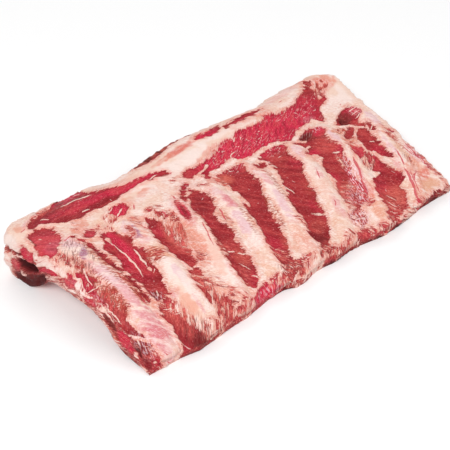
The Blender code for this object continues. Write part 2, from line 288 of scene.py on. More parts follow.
# Seams of fat that cross the lean: (half width, points).
FAT_SEAMS = (
    # the chine edge, ribs 1 to 4
    (0.9, ((-190, 180), (-187, 177))), (1.2, ((-147, 208.5), (-132, 206), (-112, 204.5))),
    (1.0, ((-171, 203), (-164, 198))), (1.0, ((-58, 191), (-45, 191.5))),
    (1.0, ((-136, 188), (-126, 187))), (1.0, ((-128, 219), (-122, 214))),
    (1.0, ((-118, 160), (-104, 170))), (1.0, ((-124, 168), (-110, 176))),
    # the chine edge, ribs 5 to 8
    (1.2, ((28, 160), (31, 166), (39, 169))), (1.0, ((48, 182), (55, 190))),
    (1.6, ((-21, 160), (-10, 163), (1, 167))),
    # left of rib 1
    (1.8, ((-199, 120), (-203, 105), (-207, 93), (-210, 80))),
    (1.3, ((-207, 76), (-206.5, 62), (-209, 48))), (1.0, ((-203, 72), (-202.5, 56), (-204, 44))),
    (1.5, ((-206, 33), (-200, 26), (-195, 18))), (0.9, ((-199, 92), (-193, 108), (-190, 117))),
    (0.9, ((-205, 90), (-199, 87), (-192, 88))), (1.6, ((-205, -1), (-202, 1))),
    (1.0, ((-201, 28), (-203, 20))),
    # gap 1-2
    (1.2, ((-148, 129), (-148.5, 115), (-148, 105), (-150, 92), (-152, 84), (-155, 76))),
    (1.1, ((-136, 111), (-140, 97), (-141, 90), (-143, 84))), (2.0, ((-144, 82), (-144, 80))),
    (1.0, ((-156.5, 53), (-153.5, 60))), (1.0, ((-143, 76), (-139, 79))), (0.5, ((-158, 33), (-150, 28))),
    (0.6, ((-162, 40), (-152, 35))),
    # gap 3-4
    (0.9, ((-58, 50), (-51, 44))), (0.9, ((-66, 58), (-59, 53))), (0.5, ((-64, 38), (-58, 29))),
    (0.8, ((-62, 24), (-58, 17))),
    # gap 4-5
    (2.0, ((-5, 104), (-7, 92))), (1.1, ((-22, 73), (-14, 75))),
    # gap 5-6
    (1.0, ((42, 98), (43.5, 88), (46, 80))), (0.9, ((24, 54), (16, 63))),
    (0.9, ((41, 51), (48, 46), (54, 40))), (0.9, ((44, 47), (52, 40))), (1.2, ((51, 128), (57, 121))),
    # gap 6-7
    (2.4, ((103, 142), (108, 137))), (1.6, ((134, 151), (141, 146))),
    (1.6, ((94, 98), (93, 84), (96, 71))), (1.2, ((99, 106), (106, 104))), (1.6, ((98, 126), (106, 127))),
    (1.4, ((122, 106), (128, 99))),
    # gap 7-8
    (2.6, ((162, 79), (166, 68), (171, 54))), (0.5, ((130, 30), (134, 22), (137, 15))),
    (0.5, ((124, 24), (132, 10))), (0.5, ((117, 10), (128, 6))), (1.0, ((160, 128), (171, 129))),
    (1.8, ((163, 113), (172, 121), (178, 116))), (1.0, ((184, 147), (195, 146))),
    (1.0, ((183, 141), (194, 138))), (0.9, ((186, 152), (193, 151))), (1.0, ((182, 133), (191, 134))),
    (0.9, ((182, 106), (189, 112))), (1.0, ((170, 95), (175, 92))),
)

# Thin red streaks over the fat: (half width, points).
RED_STREAKS = (
    # beside rib 1
    (1.0, ((-172, 48), (-171, 62))),
    # beside rib 2
    (1.0, ((-112, 133), (-108, 122), (-104, 116))),
    # beside rib 3
    (1.0, ((-61, 100), (-68, 86), (-76, 66))), (1.2, ((-57, 154), (-61, 143))),
    (1.1, ((-84, 127), (-81, 140))),
    # beside rib 4
    (1.1, ((-40, 88), (-36, 100), (-33, 106))),
    # beside rib 6
    (1.1, ((86, 93), (82, 84), (80, 78))), (0.9, ((74, 50), (68, 40))),
    # beside rib 7
    (2.6, ((134, 86), (127, 68), (120, 56))), (1.6, ((121, 60), (116, 48), (110, 38))),
    # beside rib 8
    (1.6, ((186, 70), (181, 55), (176, 44))), (2.4, ((174, 44), (167, 22), (159, 4), (152, -6))),
    (1.0, ((177, 38), (170, 20), (165, 5))), (1.2, ((170, 20), (176, 28), (184, 32), (192, 29))),
    (1.0, ((204, 75), (206, 50), (204, 22))), (0.9, ((200, 70), (202, 48))),
    # the chine edge, ribs 1 to 4
    (1.2, ((-36, 183), (-32, 183))), (0.9, ((-196, 200), (-189, 202))), (0.9, ((-100, 158), (-92, 168))),
    (0.8, ((-167, 163), (-178, 160))),
    # the chine edge, ribs 5 to 8
    (0.9, ((131, 207), (137, 208))), (1.0, ((183, 160), (185, 161))),
    # the front edge
    (0.9, ((-190, 2), (-186, -3), (-182, -6))),
)

# Patches where lean and fat mix, or where one shades into the other:
# (spot, lean depth it tends to, fraying, strength). Later ones lie over earlier ones.
MIXED_PATCHES = (
    # the chine edge, ribs 1 to 4
    ((-138, 225, 22, 7, 0), 1.8, 2.4, 0.95), ((-168, 213, 16, 8, 10), 0.8, 2.8, 0.9),
    ((-40, 172, 8, 6, 30), -1.0, 2.2, 0.9), ((-156, 172, 16, 7, 65), -1.6, 2.6, 0.8),
    # the chine edge, ribs 5 to 8
    ((104, 204, 16, 8, 0), -0.8, 1.2, 0.8), ((186, 200, 20, 22, 60), -0.6, 0.3, 0.95),
    ((174, 189, 14, 11, 50), -0.6, 1.6, 0.8), ((24, 185, 14, 6, 35), -0.8, 2.0, 0.9),
    # left of rib 1
    ((-195, 135, 9, 5, 80), -2.0, 2.4, 0.9), ((-208, 152, 6, 16, 0), -3.0, 1.5, 0.9),
    ((-197, 75, 8, 40, 8), 0.9, 3.0, 0.85), ((-190, 72, 4.5, 34, 8), 0.1, 3.0, 0.9),
    ((-192, 128, 10, 24, 12), -0.4, 3.4, 0.95), ((-196, 141, 9, 12, 0), -1.6, 3.0, 0.9),
    ((-204, 12, 12, 26, 0), 1.6, 2.8, 0.7),
    # gap 1-2 and the chine end of rib 2
    ((-147, 135, 11, 3.5, 80), -2.2, 2.2, 0.9), ((-160, 107, 10, 5, 80), -1.8, 2.4, 0.9),
    ((-152, 36, 10, 4, 10), 1.6, 2.6, 0.9), ((-137, 1, 10, 6, 0), 2.0, 2.6, 0.9),
    ((-124, 132, 16, 5, 85), 1.0, 2.8, 0.8), ((-128, 90, 14, 11, 0), 0.4, 3.2, 1.0),
    ((-148, 28, 26, 7, 100), 0.1, 3.2, 1.0), ((-137, 0, 14, 8, 0), 1.2, 3.2, 0.9),
    ((-171.5, 75, 5, 36, -3), 0.1, 2.8, 0.9), ((-157, 38, 12, 12, 0), 1.2, 3.2, 0.9),
    ((-140, 152, 9, 12, 20), 0.1, 3.0, 0.9), ((-126, 160, 14, 10, 50), -1.0, 3.0, 0.9),
    # gap 2-3 and the front end of rib 2
    ((-78, 122, 20, 4, 78), 1.4, 2.8, 0.9), ((-90, 150, 8, 6, 0), 1.2, 3.0, 0.9),
    ((-83, 138, 10, 20, -10), -0.6, 3.4, 1.0), ((-84, 114, 22, 9, 75), 1.5, 3.2, 1.0),
    ((-92, 100, 28, 12, 78), 1.8, 3.2, 1.0), ((-90, 68, 20, 8, 84), -1.2, 3.0, 0.9),
    ((-111, 141, 9, 16, -20), -0.6, 3.0, 0.95), ((-109, 40, 9, 24, 5), 1.0, 3.2, 0.9),
    ((-112, 20, 9, 16, 10), 0.4, 3.2, 0.9), ((-97, 34, 8, 34, 8), -1.8, 3.0, 0.9),
    ((-88, 12, 13, 14, 0), -1.5, 3.2, 0.9), ((-119, 1, 6, 8, 0), -2.0, 3.0, 0.8),
    ((-108, 8, 16, 14, 60), 1.4, 3.2, 0.8), ((-134, 5, 14, 12, 0), -0.1, 3.0, 0.9),
    ((-94, 0, 9, 6, 0), 0.6, 3.2, 0.9),
    # gap 3-4
    ((-62, 134, 20, 4.5, 78), -2.2, 2.4, 0.9), ((-66, 60, 9, 16, 0), 1.2, 2.6, 0.7),
    ((-66, 28, 10, 14, 0), 1.4, 2.6, 0.6), ((-39, 92, 5, 20, 15), -0.9, 2.6, 0.9),
    # gap 4-5 and the chine end of rib 4
    ((-15, 157, 6, 5, 0), -1.8, 2.4, 0.9), ((-7, 136, 9, 14, 0), 0.2, 2.6, 0.95),
    ((-26, 140, 10, 18, 0), -1.4, 2.2, 0.7), ((-20, 27, 10, 13, 0), 1.2, 2.8, 0.8),
    ((-20, 10, 13, 12, 0), 0.6, 3.2, 0.95),
    # gap 5-6 and the front ends of ribs 4 and 5
    ((24, 46, 5, 14, 15), -0.8, 2.4, 0.8), ((26, 5, 12, 12, 0), 0.6, 3.2, 0.9),
    ((4, 6, 14, 7, 20), 0.5, 3.2, 0.9), ((-9, 8, 15, 10, 20), 1.2, 3.2, 1.0),
    ((0, -4, 12, 5, 0), 0.8, 3.2, 0.8), ((-40, 4, 22, 9, 0), 0.6, 3.0, 0.8),
    ((54, 142, 8, 5, 0), 0.8, 1.8, 0.6), ((40, 122, 9, 14, 0), -1.4, 2.0, 0.8),
    # gap 6-7 and the front end of rib 6
    ((60, 6, 14, 10, 0), -1.5, 3.0, 0.9), ((98, 108, 9, 8, 20), -1.6, 2.2, 0.8),
    ((100, 48, 20, 24, -20), 1.0, 3.0, 0.9), ((80, 17, 14, 12, 0), 0.5, 3.2, 0.95),
    ((80, 3, 18, 7, 0), 0.9, 3.2, 0.7), ((46, 1, 20, 7, 0), 0.8, 3.0, 0.8),
    ((36, 6, 11, 7, 0), 1.2, 3.2, 1.0), ((84, 34, 9, 12, 0), 0.0, 2.8, 0.9),
    ((122, 88, 9, 24, -10), 0.6, 3.0, 0.8), ((84, 24, 18, 13, -10), 0.2, 3.2, 0.9),
    ((106, 31, 13, 6, 20), -0.3, 3.2, 0.9),
    # gap 7-8 and the front end of rib 7
    ((153, 127, 11, 6, 0), -0.3, 3.0, 0.95), ((150, 108, 12, 8, 20), 0.2, 3.0, 0.9),
    ((148, 73, 18, 12, 45), -0.1, 3.0, 0.95), ((133, 14, 20, 14, 0), 1.4, 2.8, 0.8),
    ((102, 2, 26, 8, 0), -0.1, 3.0, 0.85), ((188, 142, 9, 13, 0), 1.0, 2.8, 0.8),
    ((150, 0, 22, 8, 0), -0.6, 2.6, 0.8),
    # right of rib 8
    ((197, 92, 8, 28, 0), -2.2, 2.6, 0.8), ((206, 48, 6, 42, 0), 0.1, 3.2, 0.95),
    ((207, 12, 5, 16, 0), 0.6, 2.6, 0.8), ((192, 46, 10, 13, 0), -1.8, 2.8, 0.9),
)

# Colours of the fat and the lean, red, green and blue out of 255.
CREAM = (241, 207, 190)
PALE_CREAM = (248, 226, 218)
BLUSH = (238, 192, 176)
SALMON = (230, 146, 126)
CORAL = (221, 106, 92)
ORANGE = (222, 134, 100)
LILAC = (232, 192, 198)
PINK = (230, 166, 170)
ROSE = (214, 112, 126)
PEACH = (233, 172, 150)
TAN = (228, 174, 144)
PURPLE = (152, 80, 126)
BRICK = (170, 46, 52)
LIGHT_RED = (206, 78, 76)
CRIMSON = (214, 40, 72)
BROWN = (116, 40, 38)
NEAR_BLACK = (46, 12, 14)
ROSE_RED = (208, 64, 78)
OX_RED = (130, 26, 34)
DARK_RED = (86, 22, 22)

# Tints over the fat: (colour, spot, strength). Later ones lie over earlier ones.
FAT_TINTS = (
    # beside rib 1
    (PALE_CREAM, (-178, 145, 24, 13, 83), 0.7), (LILAC, (-175, 150, 18, 10, 83), 1.0),
    (PURPLE, (-178, 131, 11, 5, 50), 1.0), (LILAC, (-182, 74, 40, 9, 87), 1.0),
    (PINK, (-181, 62, 22, 8, 88), 0.9), (LILAC, (-181, 100, 14, 9, 85), 0.8),
    (PINK, (-186, 36, 18, 12, 80), 0.6), (PINK, (-182, 24, 34, 17, 82), 0.9),
    (ROSE, (-181, 28, 32, 15, 82), 0.45), (SALMON, (-176, 18, 10, 8, 60), 0.4),
    (ROSE, (-182, 16, 17, 16, 80), 0.85), (PALE_CREAM, (-191, 40, 9, 5, 90), 0.6),
    (TAN, (-190, 38, 4, 2.5, 0), 0.8), (ROSE, (-188, 112, 14, 12, 0), 0.5),
    (SALMON, (-165, 46, 8, 5, 30), 0.9), (ORANGE, (-168, 62, 4, 16, -3), 0.5),
    # beside rib 2
    (PALE_CREAM, (-129, 66, 18, 10, 83), 0.9), (LILAC, (-123, 134, 18, 9, 75), 0.9),
    (PURPLE, (-122.5, 127, 18, 6.5, 78), 1.0), (PINK, (-122, 112, 8, 7, 0), 0.8),
    (ORANGE, (-111, 141, 9, 12, 0), 0.6), (LILAC, (-124, 60, 14, 6, 80), 0.9),
    (PINK, (-142, 46, 7, 6, 40), 0.9), (TAN, (-127, 91, 16, 14, 0), 1.0),
    (PEACH, (-138.5, 31, 19, 9, 88), 1.0), (SALMON, (-138.5, 24, 14, 6, 88), 0.25),
    (PALE_CREAM, (-123, 24, 18, 4, 85), 0.8), (PINK, (-130, 26, 16, 2.6, 80), 0.8),
    (PALE_CREAM, (-124, 44, 26, 7, 84), 0.8), (TAN, (-115, 17, 6, 8, 60), 0.8),
    # beside rib 3
    (LILAC, (-66, 128, 28, 11, 75), 1.0), (ROSE, (-67, 118, 28, 11, 77), 0.7),
    (PINK, (-70, 106, 14, 6, 80), 1.0), (PALE_CREAM, (-63, 152, 14, 6, 75), 0.8),
    (PALE_CREAM, (-72, 84, 24, 5, 78), 0.9), (PALE_CREAM, (-59, 133, 22, 5, 76), 0.9),
    (PALE_CREAM, (-74, 128, 20, 3, 76), 0.7), (LILAC, (-80, 30, 22, 5, 80), 0.7),
    (BLUSH, (-75, 72, 32, 9, 75), 0.9), (PALE_CREAM, (-71, 92, 10, 6, 80), 0.9),
    (PALE_CREAM, (-83, 26, 20, 6, 80), 0.9), (BLUSH, (-85, 48, 18, 8, 75), 0.9),
    (SALMON, (-84, 116, 14, 24, 0), 0.8), (SALMON, (-84, 84, 30, 9, 78), 0.9),
    (SALMON, (-94, 66, 22, 8, 84), 0.7),
    # beside rib 4
    (PALE_CREAM, (-31, 56, 24, 7, 78), 0.9), (PINK, (-21, 112, 18, 5, 78), 1.0),
    (ROSE, (-20, 107, 14, 5, 85), 0.8), (LILAC, (-24, 126, 12, 8, 80), 0.7),
    (LILAC, (-30, 76, 24, 6.5, 75), 1.0), (PALE_CREAM, (-36, 48, 14, 8, 75), 0.8),
    (BLUSH, (-44, 34, 16, 6, 78), 0.9), (ORANGE, (-38, 90, 20, 4, 78), 0.5),
    (ORANGE, (-20, 75, 16, 3, 75), 0.4), (CORAL, (-11, 140, 12, 12, 0), 0.7),
    (TAN, (-44, 20, 24, 10, 82), 0.6), (TAN, (-40, 96, 20, 7, 72), 0.3),
    # beside rib 5
    (PALE_CREAM, (20, 44, 22, 6, 78), 0.8), (PINK, (32, 109, 15, 5, 76), 1.0),
    (LILAC, (30, 124, 14, 6, 80), 0.7), (LILAC, (22, 68, 30, 6.5, 76), 1.0),
    (PEACH, (14, 38, 14, 8, 78), 0.7), (ORANGE, (14, 70, 22, 3.4, 76), 0.5),
    (ORANGE, (40, 94, 14, 3, 76), 0.4), (ORANGE, (4, 24, 18, 10, 60), 0.45),
    (SALMON, (15, 20, 9, 14, 0), 0.7),
    # beside rib 6
    (PALE_CREAM, (82, 106, 26, 7, 78), 0.8), (LILAC, (90, 128, 16, 7, 80), 1.0),
    (PINK, (85, 86, 12, 4.5, 76), 0.9), (PINK, (71, 40, 22, 6, 74), 0.8),
    (BLUSH, (76, 66, 22, 7, 74), 0.8), (TAN, (56, 22, 22, 10, 60), 0.5),
    # beside rib 7
    (LILAC, (138, 122, 22, 6, 82), 1.0), (LILAC, (146, 128, 10, 4, 60), 0.6),
    (ROSE, (124, 62, 24, 4, 66), 0.7), (CORAL, (112, 43, 10, 4, 66), 0.8),
    (LILAC, (120, 66, 34, 8, 70), 0.6), (TAN, (109, 18, 20, 8, 76), 0.8),
    (SALMON, (108, 22, 20, 6, 76), 0.5), (CORAL, (115, 41, 12, 7, 62), 0.9),
    (SALMON, (150, 106, 14, 11, 30), 1.0), (ORANGE, (150, 127, 13, 8, 0), 0.9),
    (ORANGE, (152, 104, 9, 6, 30), 0.6),
    # beside rib 8
    (LILAC, (196, 118, 20, 9, 80), 1.0), (LILAC, (185, 80, 30, 3.5, 84), 0.9),
    (PEACH, (194, 88, 26, 5, 84), 0.7), (ORANGE, (187, 14, 21, 15, 0), 0.75),
    (TAN, (188, 10, 16, 8, 0), 0.6), (CORAL, (190, 25, 18, 8, 5), 0.9),
    (SALMON, (171, 24, 28, 9, 68), 0.7), (ROSE, (206, 44, 38, 5, 88), 0.9),
    (PINK, (172, 52, 22, 5, 68), 0.8), (SALMON, (190, 42, 22, 11, 50), 0.7),
    (TAN, (193, 70, 40, 6, 88), 0.7), (LILAC, (202, 58, 20, 4, 84), 0.7),
    # the chine edge and the chine ends of ribs 1 to 4
    (BLUSH, (-60, 178, 40, 12, 0), 0.3), (PEACH, (-92, 174, 11, 10, 40), 1.0),
    (SALMON, (-74, 177, 12, 6.5, 20), 1.0), (SALMON, (-155, 162, 16, 9, 66), 1.0),
    (SALMON, (-148, 174, 16, 8, 60), 0.7), (TAN, (-138, 158, 16, 8, 55), 0.5),
    (PEACH, (-157, 143, 7, 5, 0), 0.7), (PINK, (-172, 210, 24, 7, 15), 0.6),
    (LILAC, (-150, 224, 14, 3, 5), 0.4), (ORANGE, (-194, 206, 8, 5, 60), 0.6),
    (PALE_CREAM, (-80, 172, 30, 9, 5), 0.4), (SALMON, (-114, 130, 22, 6, 80), 0.7),
    # the rest of the chine edge
    (CORAL, (-2, 206.5, 33, 6.5, 1), 1.0), (SALMON, (-24, 206, 20, 5, 4), 0.6),
    (SALMON, (24, 210, 10, 6, 0), 0.7), (PALE_CREAM, (60, 202, 60, 6, 4), 0.7),
    (PALE_CREAM, (-10, 190, 36, 12, 2), 0.9), (SALMON, (-108, 200, 70, 22, -2), 0.25),
    (CORAL, (-160, 215, 12, 6, 20), 0.6), (SALMON, (80, 203, 30, 5, 6), 0.4),
    (PALE_CREAM, (180, 166, 30, 16, 0), 0.9), (SALMON, (12, 182, 26, 6, 24), 0.7),
    (PEACH, (96, 200, 12, 7, 10), 0.8), (PINK, (150, 218, 44, 6, 3), 0.45),
    (SALMON, (193, 206, 18, 17, 0), 0.9), (CORAL, (186, 200, 14, 10, 50), 0.7),
    # the front edge
    (ORANGE, (-178, 2, 4, 5, 0), 0.8), (PALE_CREAM, (-178, 6, 10, 8, 0), 0.6),
)

# Tones of the lean: (colour, spot, strength). Later ones lie over earlier ones.
LEAN_TONES = (
    # the chine edge, ribs 1 to 4
    (CRIMSON, (-135, 219, 26, 12, -4), 1.0), (CRIMSON, (-80, 197, 60, 9, -3), 0.8),
    (OX_RED, (-120, 187, 70, 7, 2), 0.6), (OX_RED, (-165, 199, 26, 9, -20), 0.5),
    (ROSE_RED, (-188, 168, 26, 28, 0), 1.0), (CRIMSON, (-110, 168, 18, 12, 35), 1.0),
    # The brown at the crest near rib 4 is partly dark lean and partly painted shade.
    (BROWN, (-52, 224, 16, 8, 5), 0.8), (CRIMSON, (-140, 198, 50, 8, -3), 0.4),
    (OX_RED, (-144, 217, 9, 6, 0), 0.8), (OX_RED, (-124, 210, 16, 4, 0), 0.8),
    # the chine edge, ribs 5 to 8
    (CRIMSON, (75, 172, 122, 40, 4), 1.0), (CRIMSON, (38, 211, 22, 9, 5), 1.0),
    # The near-black at the crest is partly dark lean and partly painted shade.
    (NEAR_BLACK, (-8, 227, 34, 9, 3), 0.6), (ROSE, (138, 164, 12, 7, 0), 0.5),
    (CORAL, (188, 202, 22, 16, 50), 0.5),
    # left of rib 1, up to the chine edge
    (CRIMSON, (-197, 156, 14, 12, 60), 0.6), (NEAR_BLACK, (-197, 181, 12, 2.6, 84), 0.9),
    (ROSE, (-188, 160, 16, 10, 30), 0.4), (ROSE, (-209, 106, 14, 8, 85), 0.6),
    (CRIMSON, (-200, 90, 44, 12, 85), 0.6), (NEAR_BLACK, (-205, 14, 16, 9, 85), 0.45),
    (LIGHT_RED, (-197, 68, 34, 9, 85), 0.8),
    # gap 1-2; the long thin ox red along rib 1's right side is painted shade
    (ROSE_RED, (-154, 154, 14, 10, 0), 1.0), (CRIMSON, (-143, 120, 46, 8, 85), 0.85),
    (CRIMSON, (-155, 98, 20, 9, 88), 0.5), (OX_RED, (-167, 95, 70, 4, 88), 0.8),
    (BROWN, (-157, 55, 8, 6, 0), 1.0), (OX_RED, (-152, 70, 16, 10, 0), 0.5),
    (BROWN, (-151, 1, 9, 11, 70), 0.9), (OX_RED, (-158, 8, 16, 10, 0), 0.4),
    (CORAL, (-154, 24, 12, 22, 0), 0.45),
    # gap 2-3
    (CORAL, (-92, 100, 34, 15, 78), 0.75), (ROSE_RED, (-96, 96, 24, 7, 78), 0.6),
    (LIGHT_RED, (-108, 34, 34, 14, 85), 0.6), (BROWN, (-113, 22, 12, 8, 90), 0.3),
    # gap 3-4
    (CRIMSON, (-57, 1, 26, 11, 0), 1.0), (CRIMSON, (-65, 125, 22, 7, 75), 1.0),
    (OX_RED, (-66, 124, 15, 3, 76), 0.8), (LIGHT_RED, (-58, 62, 12, 14, 60), 0.5),
    (OX_RED, (-45, 122, 22, 12, 80), 0.5), (LIGHT_RED, (-65, 30, 12, 16, 0), 0.3),
    (CORAL, (-56, 44, 16, 12, 70), 0.4),
    # gap 4-5
    (CORAL, (-5, 138, 18, 13, 0), 0.8), (CORAL, (-2, 34, 16, 14, 70), 0.35),
    # gap 5-6
    (OX_RED, (30, 24, 15, 9, 150), 0.9), (BROWN, (30, 20, 11, 6, 150), 0.5),
    (LIGHT_RED, (66, 132, 16, 14, 0), 0.4), (OX_RED, (66, 118, 16, 12, 80), 0.3),
    (OX_RED, (40, 84, 10, 20, 10), 0.3), (CORAL, (38, 34, 14, 12, 0), 0.3),
    # gap 6-7; the dark red and brown in its torn pocket are painted shade
    (ROSE_RED, (79, 4, 16, 9, 0), 0.4), (DARK_RED, (116, 145, 16, 5, 8), 0.8),
    (BROWN, (120, 141, 20, 9, 0), 0.6), (CRIMSON, (133, 140, 12, 8, 0), 0.8),
    (CRIMSON, (105, 118, 12, 7, 0), 0.7), (LIGHT_RED, (124, 120, 18, 18, 0), 0.8),
    (OX_RED, (100, 90, 14, 10, 0), 0.3), (LIGHT_RED, (86, 48, 12, 26, 0), 0.8),
    (ROSE_RED, (126, 66, 22, 6, 66), 1.0),
    # gap 7-8 and beside rib 7; the near-black and brown in its torn pocket are painted shade
    (ROSE_RED, (150, 92, 18, 14, 60), 0.9), (CRIMSON, (184, 144, 14, 12, 0), 0.6),
    (CORAL, (153, 106, 14, 8, 20), 0.6), (NEAR_BLACK, (168, 138, 12, 7, 60), 1.0),
    (BROWN, (174, 141, 14, 12, 30), 0.7), (OX_RED, (146, 48, 20, 10, 20), 0.2),
    (LIGHT_RED, (136, 20, 26, 22, 0), 0.8), (ROSE_RED, (116, 58, 38, 9, 72), 0.8),
    (CORAL, (100, 60, 14, 20, 60), 0.35), (CRIMSON, (160, 12, 34, 6, 70), 0.9),
    (CORAL, (144, 22, 20, 14, 0), 0.45), (LIGHT_RED, (176, 118, 16, 20, 60), 0.4),
    # right of rib 8
    (ROSE, (205, 62, 44, 8, 90), 0.8), (OX_RED, (184, -2, 20, 6, 0), 0.8),
)

# How smooth or hairy the fat is: (spot, hatching, strength).
HATCHING = (
    ((-127, 58, 30, 12, 83), 0.1, 0.95), ((-138, 30, 20, 8, 83), 0.0, 1.0),
    ((-78, 58, 44, 9, 73), 0.1, 0.95), ((0, 195, 130, 24, 0), 0.04, 0.95),
    ((-100, 196, 120, 14, 0), 0.04, 0.95), ((-26, 84, 44, 5, 76), 0.35, 0.8),
    ((24, 84, 50, 5, 76), 0.35, 0.8), ((72, 60, 60, 6, 74), 0.5, 0.8), ((138, 120, 26, 7, 82), 0.3, 0.8),
    ((200, 190, 26, 44, 0), 0.06, 0.95), ((-205, 200, 30, 14, 0), 0.06, 0.95),
    ((196, 112, 30, 10, 84), 0.3, 0.8), ((-178, 143, 27, 13, 83), 0.8, 0.9),
    ((-88, 125, 16, 36, -5), 1.0, 0.9), ((188, 14, 15, 11, 0), 0.1, 0.9),
    ((-86, 184, 40, 15, 0), 0.04, 1.0), ((-66, 128, 28, 10, 75), 0.15, 1.0),
    ((-181, 60, 60, 6, 85), 0.5, 0.9),
)

# Which way the fibres run: (spot, number in FIBRE_ANGLES, strength). Elsewhere they run the first way.
FIBRE_WAYS = (
    ((-92, 118, 16, 46, 0), 1, 1.0), ((-112, 20, 20, 26, 0), 1, 0.9), ((80, 176, 130, 34, 4), 1, 1.0),
    ((-40, -2, 200, 14, 0), 1, 0.9), ((110, 160, 20, 18, 0), 1, 0.3), ((-110, 168, 20, 12, 0), 1, 0.9),
    ((-150, 20, 24, 34, 0), 1, 1.0), ((-200, 90, 20, 90, 0), 1, 0.7), ((-128, 155, 22, 18, 0), 1, 0.9),
    ((148, 74, 22, 20, 40), 1, 1.0), ((190, 50, 14, 30, 0), 1, 0.9), ((-194, 130, 14, 26, 0), 1, 1.0),
    ((190, 204, 26, 30, 0), 1, 1.0), ((122, 70, 12, 46, -12), 2, 0.9), ((88, 20, 24, 22, 0), 3, 0.5),
    ((-144, 110, 12, 52, 0), 2, 0.9), ((-120, 200, 100, 24, -2), 3, 1.0), ((188, 142, 16, 20, 0), 3, 0.8),
    ((60, 214, 60, 9, 6), 3, 1.0), ((118, 143, 22, 9, 0), 3, 0.6), ((-10, 207, 40, 10, 0), 3, 1.0),
)

# Marks drawn over everything: (channel, spot, strength). Channel 0 is brown toothing across a rib's
# side, 1 is pale dashes along the ribs, partly pale streaks of fat and partly painted highlights, 2 is
# dark hair lines across the rise of the rack.
ACCENTS = (
    (0, (-191, 82, 44, 8, 87), 1.0), (0, (-172.5, 84, 46, 8, 90), 1.0), (0, (-171, 128, 22, 5, 86), 0.9),
    (0, (-190, 120, 26, 7, 75), 0.7), (0, (-127, 90, 15, 13, 0), 0.9), (0, (-86, 88, 20, 6, 75), 0.3),
    (0, (10, 72, 34, 6, 76), 1.0), (0, (-22, 76, 30, 5, 76), 0.8), (0, (-40, 84, 38, 6, 76), 0.5),
    (0, (36, 98, 34, 5, 76), 0.8), (0, (60, 70, 36, 6, 74), 0.8), (0, (150, 124, 12, 8, 0), 0.8),
    (0, (199, 84, 34, 6, 84), 0.6), (0, (-70, 62, 26, 4, 75), 0.7), (0, (-148, 60, 14, 4, 85), 0.4),
    (1, (119, 66, 36, 8, 72), 1.0), (1, (205, 52, 26, 4, 86), 0.9), (1, (84, 20, 18, 14, 0), 0.9),
    (1, (107, 48, 24, 9, 70), 0.8), (1, (182, 76, 20, 4, 84), 0.7), (1, (-60, 0, 20, 7, 0), 0.6),
    (1, (-208, 80, 34, 7, 88), 0.6), (1, (-200, 18, 18, 12, 90), 0.5), (1, (190, 142, 9, 12, 0), 0.4),
    (1, (135, 144, 9, 6, 0), 0.6), (1, (-157, 55, 8, 8, 0), 0.5), (1, (104, 44, 20, 16, 0), 0.5),
    (2, (-177, 146, 20, 14, 75), 0.6), (2, (-172, 122, 12, 10, 60), 0.6),
    (2, (-188, 112, 14, 9, 80), 0.7), (2, (-150, 8, 22, 18, 0), 0.6), (2, (148, 72, 18, 10, 45), 0.9),
    (2, (-62, 28, 14, 12, 0), 0.3), (2, (-198, 80, 40, 8, 86), 0.6), (2, (-112, 30, 30, 8, 88), 0.35),
    (2, (-88, 120, 40, 14, 78), 0.15), (2, (-140, 206, 60, 10, 0), 0.3), (2, (-24, 12, 14, 14, 0), 0.6),
    (2, (26, 8, 12, 12, 0), 0.6), (2, (190, 50, 16, 10, 60), 0.5), (2, (-190, 138, 18, 10, 70), 0.7),
    (2, (176, 142, 14, 10, 0), 0.7),
)
OVAL_LEAN = (-66, 124, 17, 4.8, 76)        # an oval of lean over rib 3, in a ring of fat
OVAL_RING = (-66, 125, 24, 9, 77)
RING_DEPTH = -3.0
TEETH_LENGTH = 8.0                # teeth of fat that reach into the lean along its fibres
TEETH_WIDTH = 2.5
TEETH_REACH = 2.3
EDGE_WANDER = 2.4                 # the lean's outline wanders by this much
EDGE_PATCH = 4.0
STRAND_LENGTH = 13.0              # coarse strands that show in both the shape and the colour
STRAND_WIDTH = 2.5
LINE_WANDER = 1.8                 # seams and streaks waver by this much
LINE_PATCH = 5.0
LINE_SLOPE = 2.2
LINE_THINNING = 0.62
LINE_TAPER = 5.0                  # fine lines thin out towards both ends
LINE_REACH = 3.0
WIDE_SEAM = 1.5                   # seams from this half width on are broad enough to shape the lean
NO_LINE = 50.0                    # side distance given where no line is near
DEEPEST = 8.0                     # lean depth is kept between these, in millimetres
SHALLOWEST = -7.0
FRAYING = 0.9                     # how frayed the lean's edge is where no patch says otherwise
HATCHED = 0.7                     # how hairy the fat is where no patch says otherwise
BLUSH_AMOUNT = 0.45
PALE_AMOUNT = 0.8
TINT_AMOUNT = 0.9
MARBLED = (75, 172, 122, 40, 4)   # the muscle with white flecks through it


def linear(colour):
    share = np.array(colour, float) / 255.0
    return np.where(share > 0.04045, ((share + 0.055) / 1.055) ** 2.4, share / 12.92)


def spot_share(u, y, spot, softness=0.6):
    return smooth(inside_spot(u, y, spot), 0.0, softness)


def blend_colours(field, colour, share):
    return field + (linear(colour) - field) * share[:, None]


def woven(u, y, shares, length, width, seed):
    """Streaks along whichever fibre direction holds at each place."""
    return sum(shares[:, k] * fibres(u, y, angle, length, width, seed + k)
               for k, angle in enumerate(FIBRE_ANGLES))


def lean_depth(u, y):
    """Millimetres inside the plain outlines of the lean, less than nothing over fat."""
    lean = np.full(u.shape, SHALLOWEST)
    for rows in GAP_LEAN:
        lean = np.maximum(lean, inside_rows(y, u, rows))
    for rows in CHINE_LEAN:
        lean = np.maximum(lean, inside_rows(u, y, rows))
    for spot in LEAN_SPOTS:
        lean = np.maximum(lean, inside_spot(u, y, spot) * min(spot[2:4]))
    return np.clip(lean, SHALLOWEST, DEEPEST)


